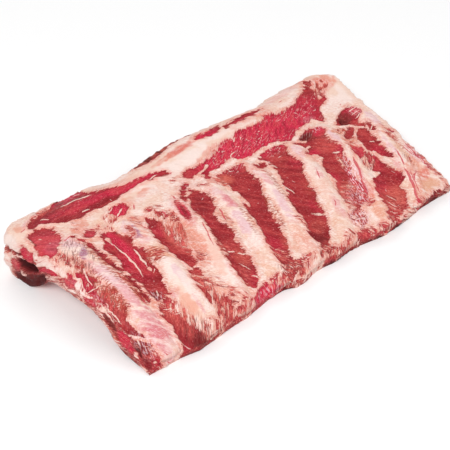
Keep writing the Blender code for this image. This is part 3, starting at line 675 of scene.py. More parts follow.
def side_of_line(u, y, points):
    """Distance to a bent line, the same with a sign for its side, and the share run along it."""
    best = np.full(u.shape, np.inf)
    signed, run, start = best.copy(), np.zeros(u.shape), 0.0
    for (u0, y0), (u1, y1) in zip(points[:-1], points[1:]):
        length = np.hypot(u1 - u0, y1 - y0)
        share = np.clip(((u - u0) * (u1 - u0) + (y - y0) * (y1 - y0)) / length**2, 0.0, 1.0)
        gap = np.hypot(u - u0 - share * (u1 - u0), y - y0 - share * (y1 - y0))
        cross = (u - u0) * (y1 - y0) - (y - y0) * (u1 - u0)
        closer = gap < best
        best = np.where(closer, gap, best)
        signed = np.where(closer, np.copysign(gap, cross), signed)
        run = np.where(closer, start + share * length, run)
        start += length
    return best, signed, run / start


def draw_lines(u, y, lean):
    """Cuts the broad seams into the lean; fine ones are kept as (side distance, half width, redness)."""
    oval = inside_spot(u, y, OVAL_LEAN) * OVAL_LEAN[3]
    lean = np.maximum(np.where(inside_spot(u, y, OVAL_RING) > 0, RING_DEPTH, lean), oval)
    near = np.full(u.shape, np.inf)
    line = np.zeros((len(u), 3))
    line[:, 0] = NO_LINE
    wavy_u = u + LINE_WANDER * (patches(u, y, LINE_PATCH, 51) - 0.5)
    wavy_y = y + LINE_WANDER * (patches(u, y, LINE_PATCH, 52) - 0.5)
    girth = 0.6 + 0.8 * patches(u, y, LINE_PATCH, 53)
    for lines, redness in ((FAT_SEAMS, 0.0), (RED_STREAKS, 1.0)):
        for half_width, points in lines:
            gap, signed, run = side_of_line(wavy_u, wavy_y, points)
            half = half_width * girth
            if redness == 0.0 and half_width >= WIDE_SEAM:
                lean = np.minimum(lean, (gap - half) * LINE_SLOPE)
                near = np.minimum(near, gap - half)
                continue
            taper = np.clip(LINE_TAPER * run * (1.0 - run), 0.0, 1.0)
            fine = np.stack([signed, LINE_THINNING * half * taper, np.full(u.shape, redness)], 1)
            closer = gap < np.minimum(near, LINE_REACH)
            near = np.minimum(near, gap)
            line = np.where(closer[:, None], fine, line)
    return lean, near, line


def fat_colours(u, y, hatch, strand, near_lean):
    """Cream fat with a blush in it, tinted in places, salmon along the lean, pale between its strands."""
    fat = np.broadcast_to(linear(CREAM), (len(u), 3)).copy()
    blush = BLUSH_AMOUNT * smooth(patches(u, y, 15, 3), 0.3, 0.9)
    fat = blend_colours(fat, BLUSH, blush * (0.15 + hatch))
    fat = blend_colours(fat, PALE_CREAM, PALE_AMOUNT * smooth(patches(u, y, 9, 4), 0.4, 0.8))
    unevenness = 0.5 * (strand - 0.5) + 0.5 * (patches(u, y, 3.5, 6) - 0.5)
    for colour, spot, strength in FAT_TINTS:
        share = smooth(inside_spot(u, y, spot) + unevenness, 0.0, 0.5)
        fat = blend_colours(fat, colour, TINT_AMOUNT * strength * share)
    fat = blend_colours(fat, SALMON, 0.7 * near_lean * smooth(strand, 0.3, 0.7))
    return blend_colours(fat, PALE_CREAM, 0.6 * smooth(strand, 0.42, 0.15) * smooth(hatch, 0.0, 0.4))


def lean_colours(u, y, strand):
    """Brick red lean with its named tones, darker and lighter along the strands."""
    meat = np.broadcast_to(linear(BRICK), (len(u), 3)).copy()
    meat = blend_colours(meat, CRIMSON, 0.4 * smooth(patches(u, y, 19, 5), 0.45, 0.9))
    for colour, spot, strength in LEAN_TONES:
        meat = blend_colours(meat, colour, strength * spot_share(u, y, spot))
    meat = blend_colours(meat, OX_RED, 0.4 * smooth(strand, 0.55, 0.2))
    return blend_colours(meat, LIGHT_RED, 0.4 * smooth(strand, 0.5, 0.85))


def dress(u, y):
    """What shows at each place: lean depth, fibre directions, texture, marks and the two tones."""
    lean = lean_depth(u, y)
    fray = np.full(u.shape, FRAYING)
    for spot, depth, fraying, strength in MIXED_PATCHES:
        share = strength * spot_share(u, y, spot)
        lean = lean + (depth - lean) * share
        fray = fray + (fraying - fray) * share
    hatch = np.full(u.shape, HATCHED)
    for spot, amount, strength in HATCHING:
        hatch = hatch + (amount - hatch) * strength * spot_share(u, y, spot)
    ways = np.zeros((len(u), 3))
    for spot, way, strength in FIBRE_WAYS:
        share = (strength * spot_share(u, y, spot))[:, None]
        ways = ways * (1.0 - share) + np.eye(3)[way - 1] * share
    shares = np.concatenate([1.0 - ways.sum(1, keepdims=True), ways], 1)
    strand = woven(u, y, shares, STRAND_LENGTH, STRAND_WIDTH, 40)
    teeth = woven(u, y, shares, TEETH_LENGTH, TEETH_WIDTH, 10)
    near_lean = smooth(lean, SHALLOWEST, -0.5) * smooth(hatch, 0.0, 0.5)
    lean = (lean + (teeth - 0.5) * 2.0 * TEETH_REACH * (0.6 + 0.4 * fray)
            + EDGE_WANDER * (patches(u, y, EDGE_PATCH, 8) - 0.5))
    lean, near, line = draw_lines(u, y, lean)
    fray = fray * (0.25 + 0.75 * smooth(near, 0.0, LINE_REACH))
    marble = spot_share(u, y, MARBLED, 0.3) * smooth(patches(u, y, 14, 7), 0.15, 0.6)
    fat = fat_colours(u, y, hatch, strand, near_lean)
    meat = lean_colours(u, y, strand)
    marks = np.zeros((len(u), 3))
    for channel, spot, strength in ACCENTS:
        marks[:, channel] = np.maximum(marks[:, channel], strength * spot_share(u, y, spot, 0.5))
    return {"lean": lean, "ways": ways, "texture": np.stack([fray, hatch, marble], 1),
            "marks": marks, "line": line, "strand": strand, "fat_tone": fat, "lean_tone": meat,
            "grain": np.stack([u, y, np.zeros_like(u)], 1)}


LEAN_SINK = 1.7                   # the lean lies this much below the fat around it
PIT_DEPTH = 5.0                   # the torn pockets at the chine ends of gaps 6-7 and 7-8
PITS = ((117, 143, 15, 7, 10), (170, 139, 14, 9, 60))
LUMPS = 1.0
STRAND_RELIEF = 0.9
LIP_HEIGHT = 0.5                  # the fat stands up in a lip beside the lean
LIP_PLACE = -1.8
LIP_HALF = 2.4
SEAM_HEIGHT = 0.6                 # fine seams of fat stand proud and red streaks lie sunk
STREAK_SINK = 0.5


def relief(u, y, fields):
    """How far the dressed surface stands above the plain skin."""
    pits = sum(spot_share(u, y, spot, 0.9) for spot in PITS)
    lumps = patches(u, y, 12, 21) + 0.5 * patches(u, y, 5, 22) - 0.75
    lean, hatch = fields["lean"], fields["texture"][:, 1]
    lip = LIP_HEIGHT * bell((lean - LIP_PLACE) / LIP_HALF) * smooth(hatch, 0.0, 0.4)
    side, half, redness = fields["line"].T
    drawn = bell(side / LINE_REACH) * smooth(half, 0.0, 0.5)
    lip = lip + (SEAM_HEIGHT - (SEAM_HEIGHT + STREAK_SINK) * redness) * drawn
    threads = (0.5 - fields["strand"]) * (0.25 + 0.75 * smooth(hatch, 0.0, 0.6))
    sink = LEAN_SINK * smooth(lean, -0.9, 1.3)
    return LUMPS * lumps + STRAND_RELIEF * threads + lip - sink - PIT_DEPTH * pits


BONE_HALF_WIDTH = 11.0
BONE_DEPTH = (8.0, 10.0)          # how deep a bone lies in the meat, at its cut end and its chine end
BONE_HEAD = 20.0                  # length of the rounded chine end
HEAD_WIDTH = 0.45                 # share of the width that is left at the very end
CHANNEL_WIDTH = 0.86              # share of the bone's width, so that the bone's brim covers the channel


def head_taper(y):
    """Runs from 1 along a bone down to nothing at its rounded chine end."""
    reach = np.clip((y - (RIB_END - BONE_HEAD)) / BONE_HEAD, 0.0, 1.0)
    return np.sqrt(1.0 - reach**2)


def bone_half(y):
    return BONE_HALF_WIDTH * (HEAD_WIDTH + (1.0 - HEAD_WIDTH) * head_taper(y))


def bone_depth(y):
    return (BONE_DEPTH[0] + (BONE_DEPTH[1] - BONE_DEPTH[0]) * y / RIB_END) * head_taper(y)


def channels(u, y):
    """Depth of the channels that the bones lie in."""
    total = np.zeros_like(u)
    for rib in range(len(RIB_FRONT)):
        s = np.abs(u - rib_line(rib, y)) / (CHANNEL_WIDTH * bone_half(y))
        total = total + np.where(y < RIB_END, bone_depth(y) * np.sqrt(np.clip(1.0 - s**2, 0.0, 1.0)), 0.0)
    return total


def keep_fields(mesh, fields):
    """Stores the dressing on the mesh's points, for the materials to read."""
    for name, values in fields.items():
        kind, key = ("FLOAT", "value") if values.ndim == 1 else ("FLOAT_VECTOR", "vector")
        layer = mesh.attributes.new(name, kind, "POINT")
        layer.data.foreach_set(key, values.astype(np.float32).ravel())


def piece_from(name, points, faces, fields, material):
    mesh = bpy.data.meshes.new(name)
    mesh.from_pydata(points.tolist(), [], faces)
    mesh.validate()
    keep_fields(mesh, fields)
    mesh.shade_smooth()
    mesh.materials.append(material)
    piece = bpy.data.objects.new(name, mesh)
    bpy.context.scene.collection.objects.link(piece)
    return piece


def node(tree, kind, inputs=None, **settings):
    made = tree.nodes.new("ShaderNode" + kind)
    for name, value in settings.items():
        setattr(made, name, value)
    for key, value in (inputs or {}).items():
        if isinstance(value, bpy.types.NodeSocket):
            tree.links.new(value, made.inputs[key])
        else:
            made.inputs[key].default_value = value
    return made


def maths(tree, operation, a, b=0.0):
    return node(tree, "Math", {0: a, 1: b}, operation=operation).outputs[0]


def mixed(tree, share, a, b, blend="MIX"):
    """Mix of two colours, by share."""
    return node(tree, "Mix", {0: share, 6: a, 7: b}, data_type="RGBA", blend_type=blend).outputs[2]


def step(tree, value, low, high):
    """Soft step of a value from 0 at low to 1 at high."""
    inputs = {"Value": value, "From Min": low, "From Max": high}
    return node(tree, "MapRange", inputs, interpolation_type="SMOOTHSTEP").outputs[0]


def new_group(name, inputs, outputs):
    """An empty node group with named sockets: (name, kind, value)."""
    group = bpy.data.node_groups.new(name, "ShaderNodeTree")
    for label, kind, value in inputs:
        socket = group.interface.new_socket(label, in_out="INPUT", socket_type="NodeSocket" + kind)
        if value is not None:
            socket.default_value = value
    for label, kind in outputs:
        group.interface.new_socket(label, in_out="OUTPUT", socket_type="NodeSocket" + kind)
    return group, group.nodes.new("NodeGroupInput").outputs, group.nodes.new("NodeGroupOutput").inputs


def placed(tree, group, inputs):
    """A node group placed in another tree; gives back its outputs."""
    return node(tree, "Group", inputs, node_tree=group).outputs


def along_fibres(group, spot, given):
    """A spot turned to the given angle and counted in the given lengths and widths."""
    back = maths(group, "MULTIPLY", given["Angle"], -1.0)
    turned = node(group, "VectorRotate", {"Vector": spot, "Angle": back}, rotation_type="Z_AXIS")
    size = node(group, "CombineXYZ", {0: given["Length"], 1: given["Width"], 2: 1.0}).outputs[0]
    return node(group, "VectorMath", {0: turned.outputs[0], 1: size}, operation="DIVIDE").outputs[0]


def strand_group():
    """Soft streaks along one direction, between 0 and 1."""
    group, given, out = new_group("strands", (
        ("Grain", "Vector", None), ("Angle", "Float", 0.0), ("Length", "Float", 6.0),
        ("Width", "Float", 1.0)), (("Strand", "Float"),))
    scaled = along_fibres(group, given["Grain"], given)
    noise = node(group, "TexNoise", {"Vector": scaled, "Scale": 1.0, "Detail": 1.5, "Roughness": 0.6},
                 noise_dimensions="2D").outputs[0]
    group.links.new(step(group, noise, 0.25, 0.75), out["Strand"])
    return group


FLECK_DRIFT = 9.0                 # flecks stray by up to this much, so that they don't lie in rows
DRIFT_SCALE = 0.12


def fleck_group():
    """Separate short flecks along one direction: 1 inside a fleck, 0 between them."""
    group, given, out = new_group("flecks", (
        ("Grain", "Vector", None), ("Angle", "Float", 0.0), ("Length", "Float", 9.0),
        ("Width", "Float", 3.0), ("Amount", "Float", 0.5)), (("Fleck", "Float"),))
    drift = node(group, "TexNoise", {"Vector": given["Grain"], "Scale": DRIFT_SCALE, "Detail": 1.0},
                 noise_dimensions="2D").outputs["Color"]
    drift = node(group, "VectorMath", {0: drift, 1: (FLECK_DRIFT, FLECK_DRIFT, 0.0)}, operation="MULTIPLY")
    bent = node(group, "VectorMath", {0: given["Grain"], 1: drift.outputs[0]}, operation="ADD").outputs[0]
    scaled = along_fibres(group, bent, given)
    cells = node(group, "TexVoronoi", {"Vector": scaled, "Scale": 1.0}, voronoi_dimensions="2D").outputs
    chance = node(group, "SeparateColor", {0: cells["Color"]}).outputs
    reach = maths(group, "MULTIPLY", maths(group, "ADD", chance[1], 0.3), 0.2)
    inside = step(group, maths(group, "SUBTRACT", reach, cells["Distance"]), 0.0, 0.08)
    chosen = maths(group, "LESS_THAN", chance[0], given["Amount"])
    group.links.new(maths(group, "MULTIPLY", inside, chosen), out["Fleck"])
    return group


strands = strand_group()
flecks = fleck_group()


def colour_value(colour):
    return (*linear(colour), 1.0)


# Colours of the fine marks that the material draws.
FRINGE = (228, 126, 112)          # where fat shades into lean
HAIR = (214, 124, 106)
TOOTHING = (176, 78, 60)
# Dark hair lines, and the painted shade of the dark rim inside the lean's edge.
DARK_HAIR_AND_SHADE = (122, 48, 46)
# Pale threads of the fat, partly painted highlights, and the painted highlight on its lip.
PALE_THREAD_AND_HIGHLIGHT = (255, 240, 232)
SHADED_THREAD = (222, 150, 128)
# Painted glints on the lean.
GLINT = (244, 168, 164)
# Pale dashes, partly pale streaks of fat and partly painted highlights.
DASH_AND_HIGHLIGHT = (250, 214, 220)
MARBLING = (252, 218, 210)
SEAM = (246, 214, 200)
STREAK = (206, 84, 92)
DULL = (0.72, 0.5, 0.55, 1.0)     # what the lean's colour is multiplied by between and on its strands
LIVELY = (1.22, 1.7, 1.55, 1.0)
MARBLING_ANGLE = np.radians(30)

# Streaks that the accents call up: (channel, angle, length, width, faint from, full from, tone).
ACCENT_STREAKS = (
    (0, np.radians(-16), 6.0, 1.5, 0.48, 0.66, TOOTHING),
    (2, np.radians(48), 9.0, 1.4, 0.62, 0.8, DARK_HAIR_AND_SHADE),
    (1, np.radians(74), 5.0, 1.2, 0.58, 0.74, DASH_AND_HIGHLIGHT),
)
COARSE_STREAKS = (7.0, 1.2)       # length and width
FINE_STREAKS = (3.2, 0.75)
HAIR_STREAKS = (4.5, 0.9)

# Bands from faint to full, in millimetres inside the lean (less than nothing is over the fat).
FRINGE_BAND = (-4.0, -0.3)        # fat shades to salmon
HAIR_BAND = (-7.0, -1.5)          # hairs thicken
# The pale lip of the fat beside the lean is a painted highlight.
HIGHLIGHT_START = (-2.3, -1.3)          # the fat's pale lip begins and ends
HIGHLIGHT_END = (-0.2, -0.9)
EDGE_BAND = (-0.35, 0.45)         # fat gives way to lean
# The dark rim inside the lean's edge is painted shade.
RIM_SHADE_BAND = (2.4, 0.9)             # the lean's rim darkens
OVER_LEAN_BAND = (0.5, 3.0)       # toothing thins out over the lean


def tissue_group():
    """Fat and lean side by side: streaky edges, a salmon fringe, hatching, marbling and marks."""
    group, given, out = new_group("tissue", (
        ("Grain", "Vector", None), ("Lean", "Float", 0.0), ("Ways", "Vector", None),
        ("Texture", "Vector", None), ("Marks", "Vector", None), ("Line", "Vector", None),
        ("Fat Tone", "Color", colour_value(CREAM)), ("Lean Tone", "Color", colour_value(BRICK)),
        ("Strand Width", "Float", 1.0)),
        (("Color", "Color"), ("Roughness", "Float"), ("Coat", "Float"), ("Height", "Float")))
    grain = given["Grain"]
    ways, texture, marks, line = [node(group, "SeparateXYZ", {0: given[name]}).outputs
                                  for name in ("Ways", "Texture", "Marks", "Line")]
    fray, hatch, marble = texture[0], texture[1], texture[2]

    def product(a, b):
        return maths(group, "MULTIPLY", a, b)

    def plus(a, b):
        return maths(group, "ADD", a, b)

    def minus(a, b):
        return maths(group, "SUBTRACT", a, b)

    def swing(value, amount):
        """Turns a value from 0 to 1 into one to both sides of nothing."""
        return product(minus(value, 0.5), amount)

    def within(value, low, high):
        """Soft step from 0 at low to 1 at high; low may be the larger one."""
        return step(group, value, low, high)

    def laid(under, tone, share):
        return mixed(group, share, under, colour_value(tone))

    def streaks(angle, length, width):
        inputs = {"Grain": grain, "Angle": angle, "Length": length, "Width": width}
        return placed(group, strands, inputs)[0]

    def scattered(angle, length, width, amount):
        inputs = {"Grain": grain, "Angle": angle, "Length": length, "Width": width, "Amount": amount}
        return placed(group, flecks, inputs)[0]

    def woven_streaks(length, width):
        """Streaks that follow whichever fibre direction holds here."""
        width = product(given["Strand Width"], width)
        total = streaks(FIBRE_ANGLES[0], length, width)
        for k in range(3):
            other = streaks(FIBRE_ANGLES[k + 1], length, width)
            total = node(group, "Mix", {0: ways[k], 2: total, 3: other}, data_type="FLOAT").outputs[0]
        return total

    # How far inside the lean each place is, once the streaks have torn the outline.
    coarse = woven_streaks(*COARSE_STREAKS)
    fine = woven_streaks(*FINE_STREAKS)
    hairs = woven_streaks(*HAIR_STREAKS)
    speck = node(group, "TexNoise", {"Vector": grain, "Scale": 0.9, "Detail": 2.0},
                 noise_dimensions="2D").outputs[0]
    wobble = plus(swing(coarse, product(fray, 2.4)), swing(fine, product(fray, 0.8)))
    edge = plus(given["Lean"], plus(wobble, swing(speck, 0.8)))

    # The fat: a fringe along the lean, hairs, threads (the pale ones partly painted highlights), and a
    # painted highlight on its lip where it meets the lean.
    fringe = laid(given["Fat Tone"], FRINGE, 0.7)
    outside = mixed(group, product(within(edge, *FRINGE_BAND), 0.95), given["Fat Tone"], fringe)
    hair = product(within(hairs, 0.5, 0.74), hatch)
    hair = product(hair, plus(product(within(edge, *HAIR_BAND), 0.7), 0.3))
    outside = laid(outside, HAIR, hair)
    shaded = product(within(fine, 0.42, 0.16), product(hatch, 0.4))
    outside = laid(outside, SHADED_THREAD, shaded)
    # Pale threads, partly the fat's own pale strands and partly painted highlights.
    pale = product(within(fine, 0.6, 0.86), plus(product(hatch, 0.4), 0.12))
    outside = laid(outside, PALE_THREAD_AND_HIGHLIGHT, pale)
    # A painted highlight along the fat's lip beside the lean.
    lip = product(within(edge, *HIGHLIGHT_START), within(edge, *HIGHLIGHT_END))
    lip = product(lip, within(speck, 0.4, 0.55))
    outside = laid(outside, PALE_THREAD_AND_HIGHLIGHT, product(lip, 0.4))

    # The lean: duller and livelier strands, torn shreds of fat, painted glints, a dark rim of painted shade
    # inside its edge, and marbling.
    lively = plus(product(coarse, 0.5), product(within(fine, 0.3, 0.7), 0.4))
    factor = mixed(group, lively, DULL, LIVELY)
    inside = mixed(group, 1.0, given["Lean Tone"], factor, "MULTIPLY")
    bright = within(node(group, "SeparateColor", {0: given["Lean Tone"]}).outputs[0], 0.12, 0.32)
    torn = product(product(within(fray, 1.1, 2.6), bright), within(coarse, 0.55, 0.88))
    inside = laid(inside, FRINGE, product(torn, 0.7))
    # Painted glints on the lean.
    glint = product(product(within(fine, 0.72, 0.9), within(speck, 0.5, 0.62)), bright)
    inside = laid(inside, GLINT, product(glint, 0.4))
    # Painted shade: a dark rim just inside the lean's edge, below the fat's lip.
    rim = product(within(edge, *RIM_SHADE_BAND), within(speck, 0.4, 0.55))
    inside = laid(inside, DARK_HAIR_AND_SHADE, product(rim, 0.28))
    fleck = scattered(MARBLING_ANGLE, 7.0, 2.2, product(marble, 0.42))
    tick = scattered(FIBRE_ANGLES[0], 9.0, 2.4, 0.04)
    vein = within(streaks(MARBLING_ANGLE, 8.0, 1.5), 0.74, 0.92)
    vein = product(product(vein, marble), 0.3)
    fleck = maths(group, "MAXIMUM", maths(group, "MAXIMUM", fleck, vein), product(tick, 0.7))
    inside = laid(inside, MARBLING, product(fleck, 0.85))
    share = within(edge, *EDGE_BAND)
    surface = mixed(group, share, outside, inside)

    # Marks over both: toothing, hairs and dashes (partly painted highlights), then the fine seams and
    # streaks.
    thinned = plus(product(within(edge, *OVER_LEAN_BAND), -0.6), 1.0)
    for channel, angle, length, width, low, high, tone in ACCENT_STREAKS:
        mark = product(within(streaks(angle, length, width), low, high), marks[channel])
        mark = product(mark, thinned if channel == 0 else 1.0)
        surface = laid(surface, tone, product(mark, 0.85))
    gap = maths(group, "ABSOLUTE", plus(line[0], swing(speck, 1.5)))
    drawn = product(within(minus(line[1], gap), -0.3, 0.2), within(line[1], 0.02, 0.15))
    ink = mixed(group, line[2], colour_value(SEAM), colour_value(STREAK))
    group.links.new(mixed(group, product(drawn, 0.88), surface, ink), out["Color"])

    rough = plus(plus(product(share, -0.14), 0.5), product(speck, 0.14))
    group.links.new(rough, out["Roughness"])
    group.links.new(plus(product(share, 0.06), 0.02), out["Coat"])
    height = plus(minus(product(coarse, 0.6), product(share, 0.8)), product(fine, 0.4))
    height = plus(plus(height, product(fleck, 0.5)), product(speck, 0.3))
    group.links.new(height, out["Height"])
    return group


tissue = tissue_group()


BUMP_STRENGTH = 0.8
SPECULAR_LEVEL = 0.08
COAT_ROUGHNESS = 0.18


def tissue_material(name, strand_width, bump_distance):
    material = bpy.data.materials.new(name)
    material.use_nodes = True
    tree = material.node_tree
    shader = tree.nodes["Principled BSDF"]
    inputs = {"Strand Width": strand_width}
    for socket in ("Grain", "Lean", "Ways", "Texture", "Marks", "Line", "Fat Tone", "Lean Tone"):
        field = node(tree, "Attribute", attribute_name=socket.lower().replace(" ", "_"))
        inputs[socket] = field.outputs["Fac" if socket == "Lean" else "Vector"]
    made = placed(tree, tissue, inputs)
    bump = node(tree, "Bump", {"Strength": BUMP_STRENGTH, "Distance": bump_distance,
                               "Height": made["Height"]})
    for source, socket in ((made["Color"], "Base Color"), (made["Roughness"], "Roughness"),
                           (made["Coat"], "Coat Weight"), (bump.outputs[0], "Normal")):
        tree.links.new(source, shader.inputs[socket])
    shader.inputs["Specular IOR Level"].default_value = SPECULAR_LEVEL
    shader.inputs["Coat Roughness"].default_value = COAT_ROUGHNESS
    return material


SLAB_COLUMNS = 360
SLAB_ROWS = 188
RIM_ROWS = 22
BASE_STEP = 4                     # the underside's cells are this many times as large
EDGE_ROUNDING = 2.2               # height lost over the last EDGE_REACH to the cut edges
EDGE_REACH = 4.5
RIM_LUMPS = 1.3
RIM_SINK = 0.9
FACE_STREAKS = 5.0                # strands shift the edges of the patches on the cut faces by this much
FIRM_DEPTH = 4.5                  # but not of the marks whose lean is at least this deep

# The cut faces in the order front, right, chine, left: which way each one faces, how much it swells,
# and how the grain moves on for each millimetre down it.
FACE_WAYS = ((0.0, -1.0, 0.0), (1.0, 0.0, 0.0), (0.0, 1.0, 0.0), (-1.0, 0.0, 0.0))
FACE_BULGES = (FRONT_BULGE, EDGE_BULGE, CHINE_BULGE, EDGE_BULGE)
FACE_SLANTS = ((-0.7, -0.85), (1.0, 0.0), (0.0, 1.0), (-1.0, -0.85))
LEFT = 3

# What the cut faces show: (place along the edge, lean depth, painted shade towards the bottom).
FRONT_FACE = (
    (-210, 3, 0.4), (-200, 3, 0.3), (-194, 1, 0.1), (-188, -3, 0), (-172, -3, 0), (-167, 3, 0.5),
    (-150, 4, 0.6), (-140, 3, 0.5), (-128, 1, 0.4), (-124, -2, 0), (-119, -2, 0), (-114, 2, 0.3),
    (-102, 2, 0.2), (-93, 1.5, 0.2), (-84, -1.5, 0), (-79, 3, 0.2), (-50, 3, 0.3), (-38, 3, 0.9),
    (-26, 2, 0.8), (-18, 0, 0.3), (0, -1, 0.2), (6, -2.5, 0.3), (17, -2.5, 0.4), (22, 3, 0.8), (35, 3, 1),
    (58, 2, 0.9), (64, 1, 0.6), (88, 2, 0.8), (98, 1, 1), (104, -1.5, 0.7), (109, 2, 1), (120, 3, 1),
    (132, 1, 0.8), (140, -2, 0.9), (155, -1.5, 1), (162, 2, 0.8), (185, 3, 0.9), (203, 2, 0.6),
    (210, -1, 0.3),
)
LEFT_FACE = (
    (0, 2, 0.3), (45, 1.5, 0.4), (60, 1, 0.2), (75, 0, 0.2), (95, 0.5, 0.2), (110, 1.5, 0.3),
    (124, 0.5, 0.3), (134, -1, 0.4), (145, 1, 0.5), (155, 1, 0.7), (170, 2, 0.9), (190, 1, 0.8),
    (202, -2, 0.1), (225, -4, 0),
)
RIGHT_FACE = (
    (0, 1, 0.6), (25, 0, 0.4), (60, 0.5, 0.4), (100, -1, 0.2), (150, -3, 0.1), (200, -4, 0), (225, -4, 0),
)
CHINE_FACE = (
    (-210, -4, 0), (-170, -2, 0.1), (-155, 3, 0.1), (-120, 4, 0.2), (-112, -2, 0.1), (-70, -3, 0.2),
    (-60, 1, 0.6), (-30, 3, 1), (10, 2, 1), (24, -2, 0.4), (60, -3, 0.1), (100, -1, 0.2), (140, -3, 0),
    (210, -4, 0),
)
FACES = (FRONT_FACE, RIGHT_FACE, CHINE_FACE, LEFT_FACE)

# Marks on the left cut face: (y, depth down the face, half y, half depth), lean depth, swell, tone. The
# near-black marks in the sunk cavity, the brown and dark red ones in the undercut below the cream knob
# and the dark red ones along the bottom, where the flap hangs, are painted shade; the pale mark at y 110
# low on the face is a painted highlight.
LEFT_MARKS = (
    ((207, 0.12, 24, 0.2), -5, 5.5, None), ((213, 0.38, 12, 0.06), 5, -4.0, BROWN),
    ((197, 0.28, 13, 0.06), 5, -4.0, DARK_RED), ((213, 0.47, 8, 0.06), 0.5, 3.0, CORAL),
    ((195, 0.6, 9, 0.16), 3, 0.0, ROSE_RED), ((209, 0.66, 8, 0.24), -3, 4.0, None),
    ((179, 0.46, 15, 0.15), 5, -10.0, NEAR_BLACK), ((167, 0.46, 7, 0.13), 5, -6.0, NEAR_BLACK),
    ((179, 0.18, 11, 0.16), 4, -1.0, CRIMSON), ((188, 0.335, 9, 0.03), -3, 1.0, None),
    ((168, 0.12, 3.5, 0.16), -4, 1.0, None), ((155, 0.2, 15, 0.17), -3.2, 1.0, None),
    ((141, 0.3, 10, 0.09), -2.2, 0.6, None), ((182, 0.7, 6, 0.05), -3, 1.5, None),
    ((180, 0.9, 23, 0.17), 5, -3.0, DARK_RED), ((160, 0.82, 12, 0.26), 6, -4.0, DARK_RED),
    ((146, 0.46, 16, 0.13), 4, -1.0, CRIMSON), ((144, 0.73, 10, 0.035), -3, 0.8, None),
    ((128, 0.18, 12, 0.15), -3.0, 1.0, None), ((114, 0.34, 11, 0.13), 3, 0.5, ROSE_RED),
    ((110, 0.62, 9, 0.1), -2.5, 0.5, None), ((104, 0.2, 4, 0.24), -3, 0.8, None),
    ((92, 0.26, 10, 0.08), -3, 0.6, None), ((86, 0.5, 10, 0.14), 3, -0.5, ROSE_RED),
    ((69, 0.42, 2.5, 0.2), -3, 0.6, None), ((59, 0.42, 13, 0.17), 4, -1.2, BROWN),
    ((52, 0.78, 16, 0.14), -0.5, 0.5, CORAL), ((36, 0.4, 14, 0.3), 4, -0.5, CRIMSON),
    ((19, 0.26, 6, 0.12), 4, -1.0, DARK_RED), ((20, 0.45, 4, 0.08), -3, 0.8, None),
    ((6, 0.4, 9, 0.3), 4, -0.8, OX_RED), ((28, 0.97, 16, 0.06), 5, 0.0, DARK_RED),
    ((8, 0.8, 7, 0.1), -2, 0.5, None),
)


def edge_share(distance, reach):
    """1 on an edge, falling to 0 at this reach from it."""
    return np.clip(1.0 - distance / reach, 0.0, 1.0)


def edge_drop(u, y):
    left = -LENGTH / 2 + LEFT_LEAN
    near = np.minimum(np.minimum(u - left, LENGTH / 2 - u), np.minimum(y, WIDTH - y))
    return EDGE_ROUNDING * edge_share(near, EDGE_REACH) ** 2


# The cut outline is uneven: (amount, size) of its coarse and fine waves, and how far in they reach.
RAGGED = ((1.7, 7.0), (1.1, 2.5))
RAGGED_REACH = 6.0
EDGE_SHIFTS = (                   # (u, y, reach, shift in u, shift in y): swells and dips of the outline
    (20, 225, 60, 0, 2.6), (80, 225, 50, 0, 2.4), (-130, 225, 60, 0, 2.0), (-200, 225, 30, -1, 2.5),
    (212, 215, 50, 3.0, 1.0), (212, 160, 40, 1.0, 0), (212, 30, 60, -2.6, 0), (15, 0, 22, 0, 2.6),
    (-34, 0, 14, 0, 2.0), (-62, 0, 10, 0, 1.6), (150, 0, 30, 0, 1.0),
)


def ragged_shift(u, y):
    """How far the skin's edge is pushed out or in, in u and in y."""
    amount = sum(high * (2.0 * patches(u, y, size, 61 + k) - 1.0) for k, (high, size) in enumerate(RAGGED))
    left = -LENGTH / 2 + LEFT_LEAN
    shift_u = amount * (edge_share(LENGTH / 2 - u, RAGGED_REACH) - edge_share(u - left, RAGGED_REACH))
    shift_y = amount * (edge_share(WIDTH - y, RAGGED_REACH) - edge_share(y, RAGGED_REACH))
    for edge_u, edge_y, half, more_u, more_y in EDGE_SHIFTS:
        share = bell(np.hypot(u - edge_u, y - edge_y) / half)
        shift_u = shift_u + more_u * share
        shift_y = shift_y + more_y * share
    return shift_u, shift_y


def border_cells():
    """Column and row of each point round the skin's edge: front, right, chine and left."""
    columns, rows = SLAB_COLUMNS, SLAB_ROWS
    front = [(i, 0) for i in range(columns)]
    right = [(columns, j) for j in range(rows)]
    chine = [(i, rows) for i in range(columns, 0, -1)]
    left = [(0, j) for j in range(rows, 0, -1)]
    return front + right + chine + left


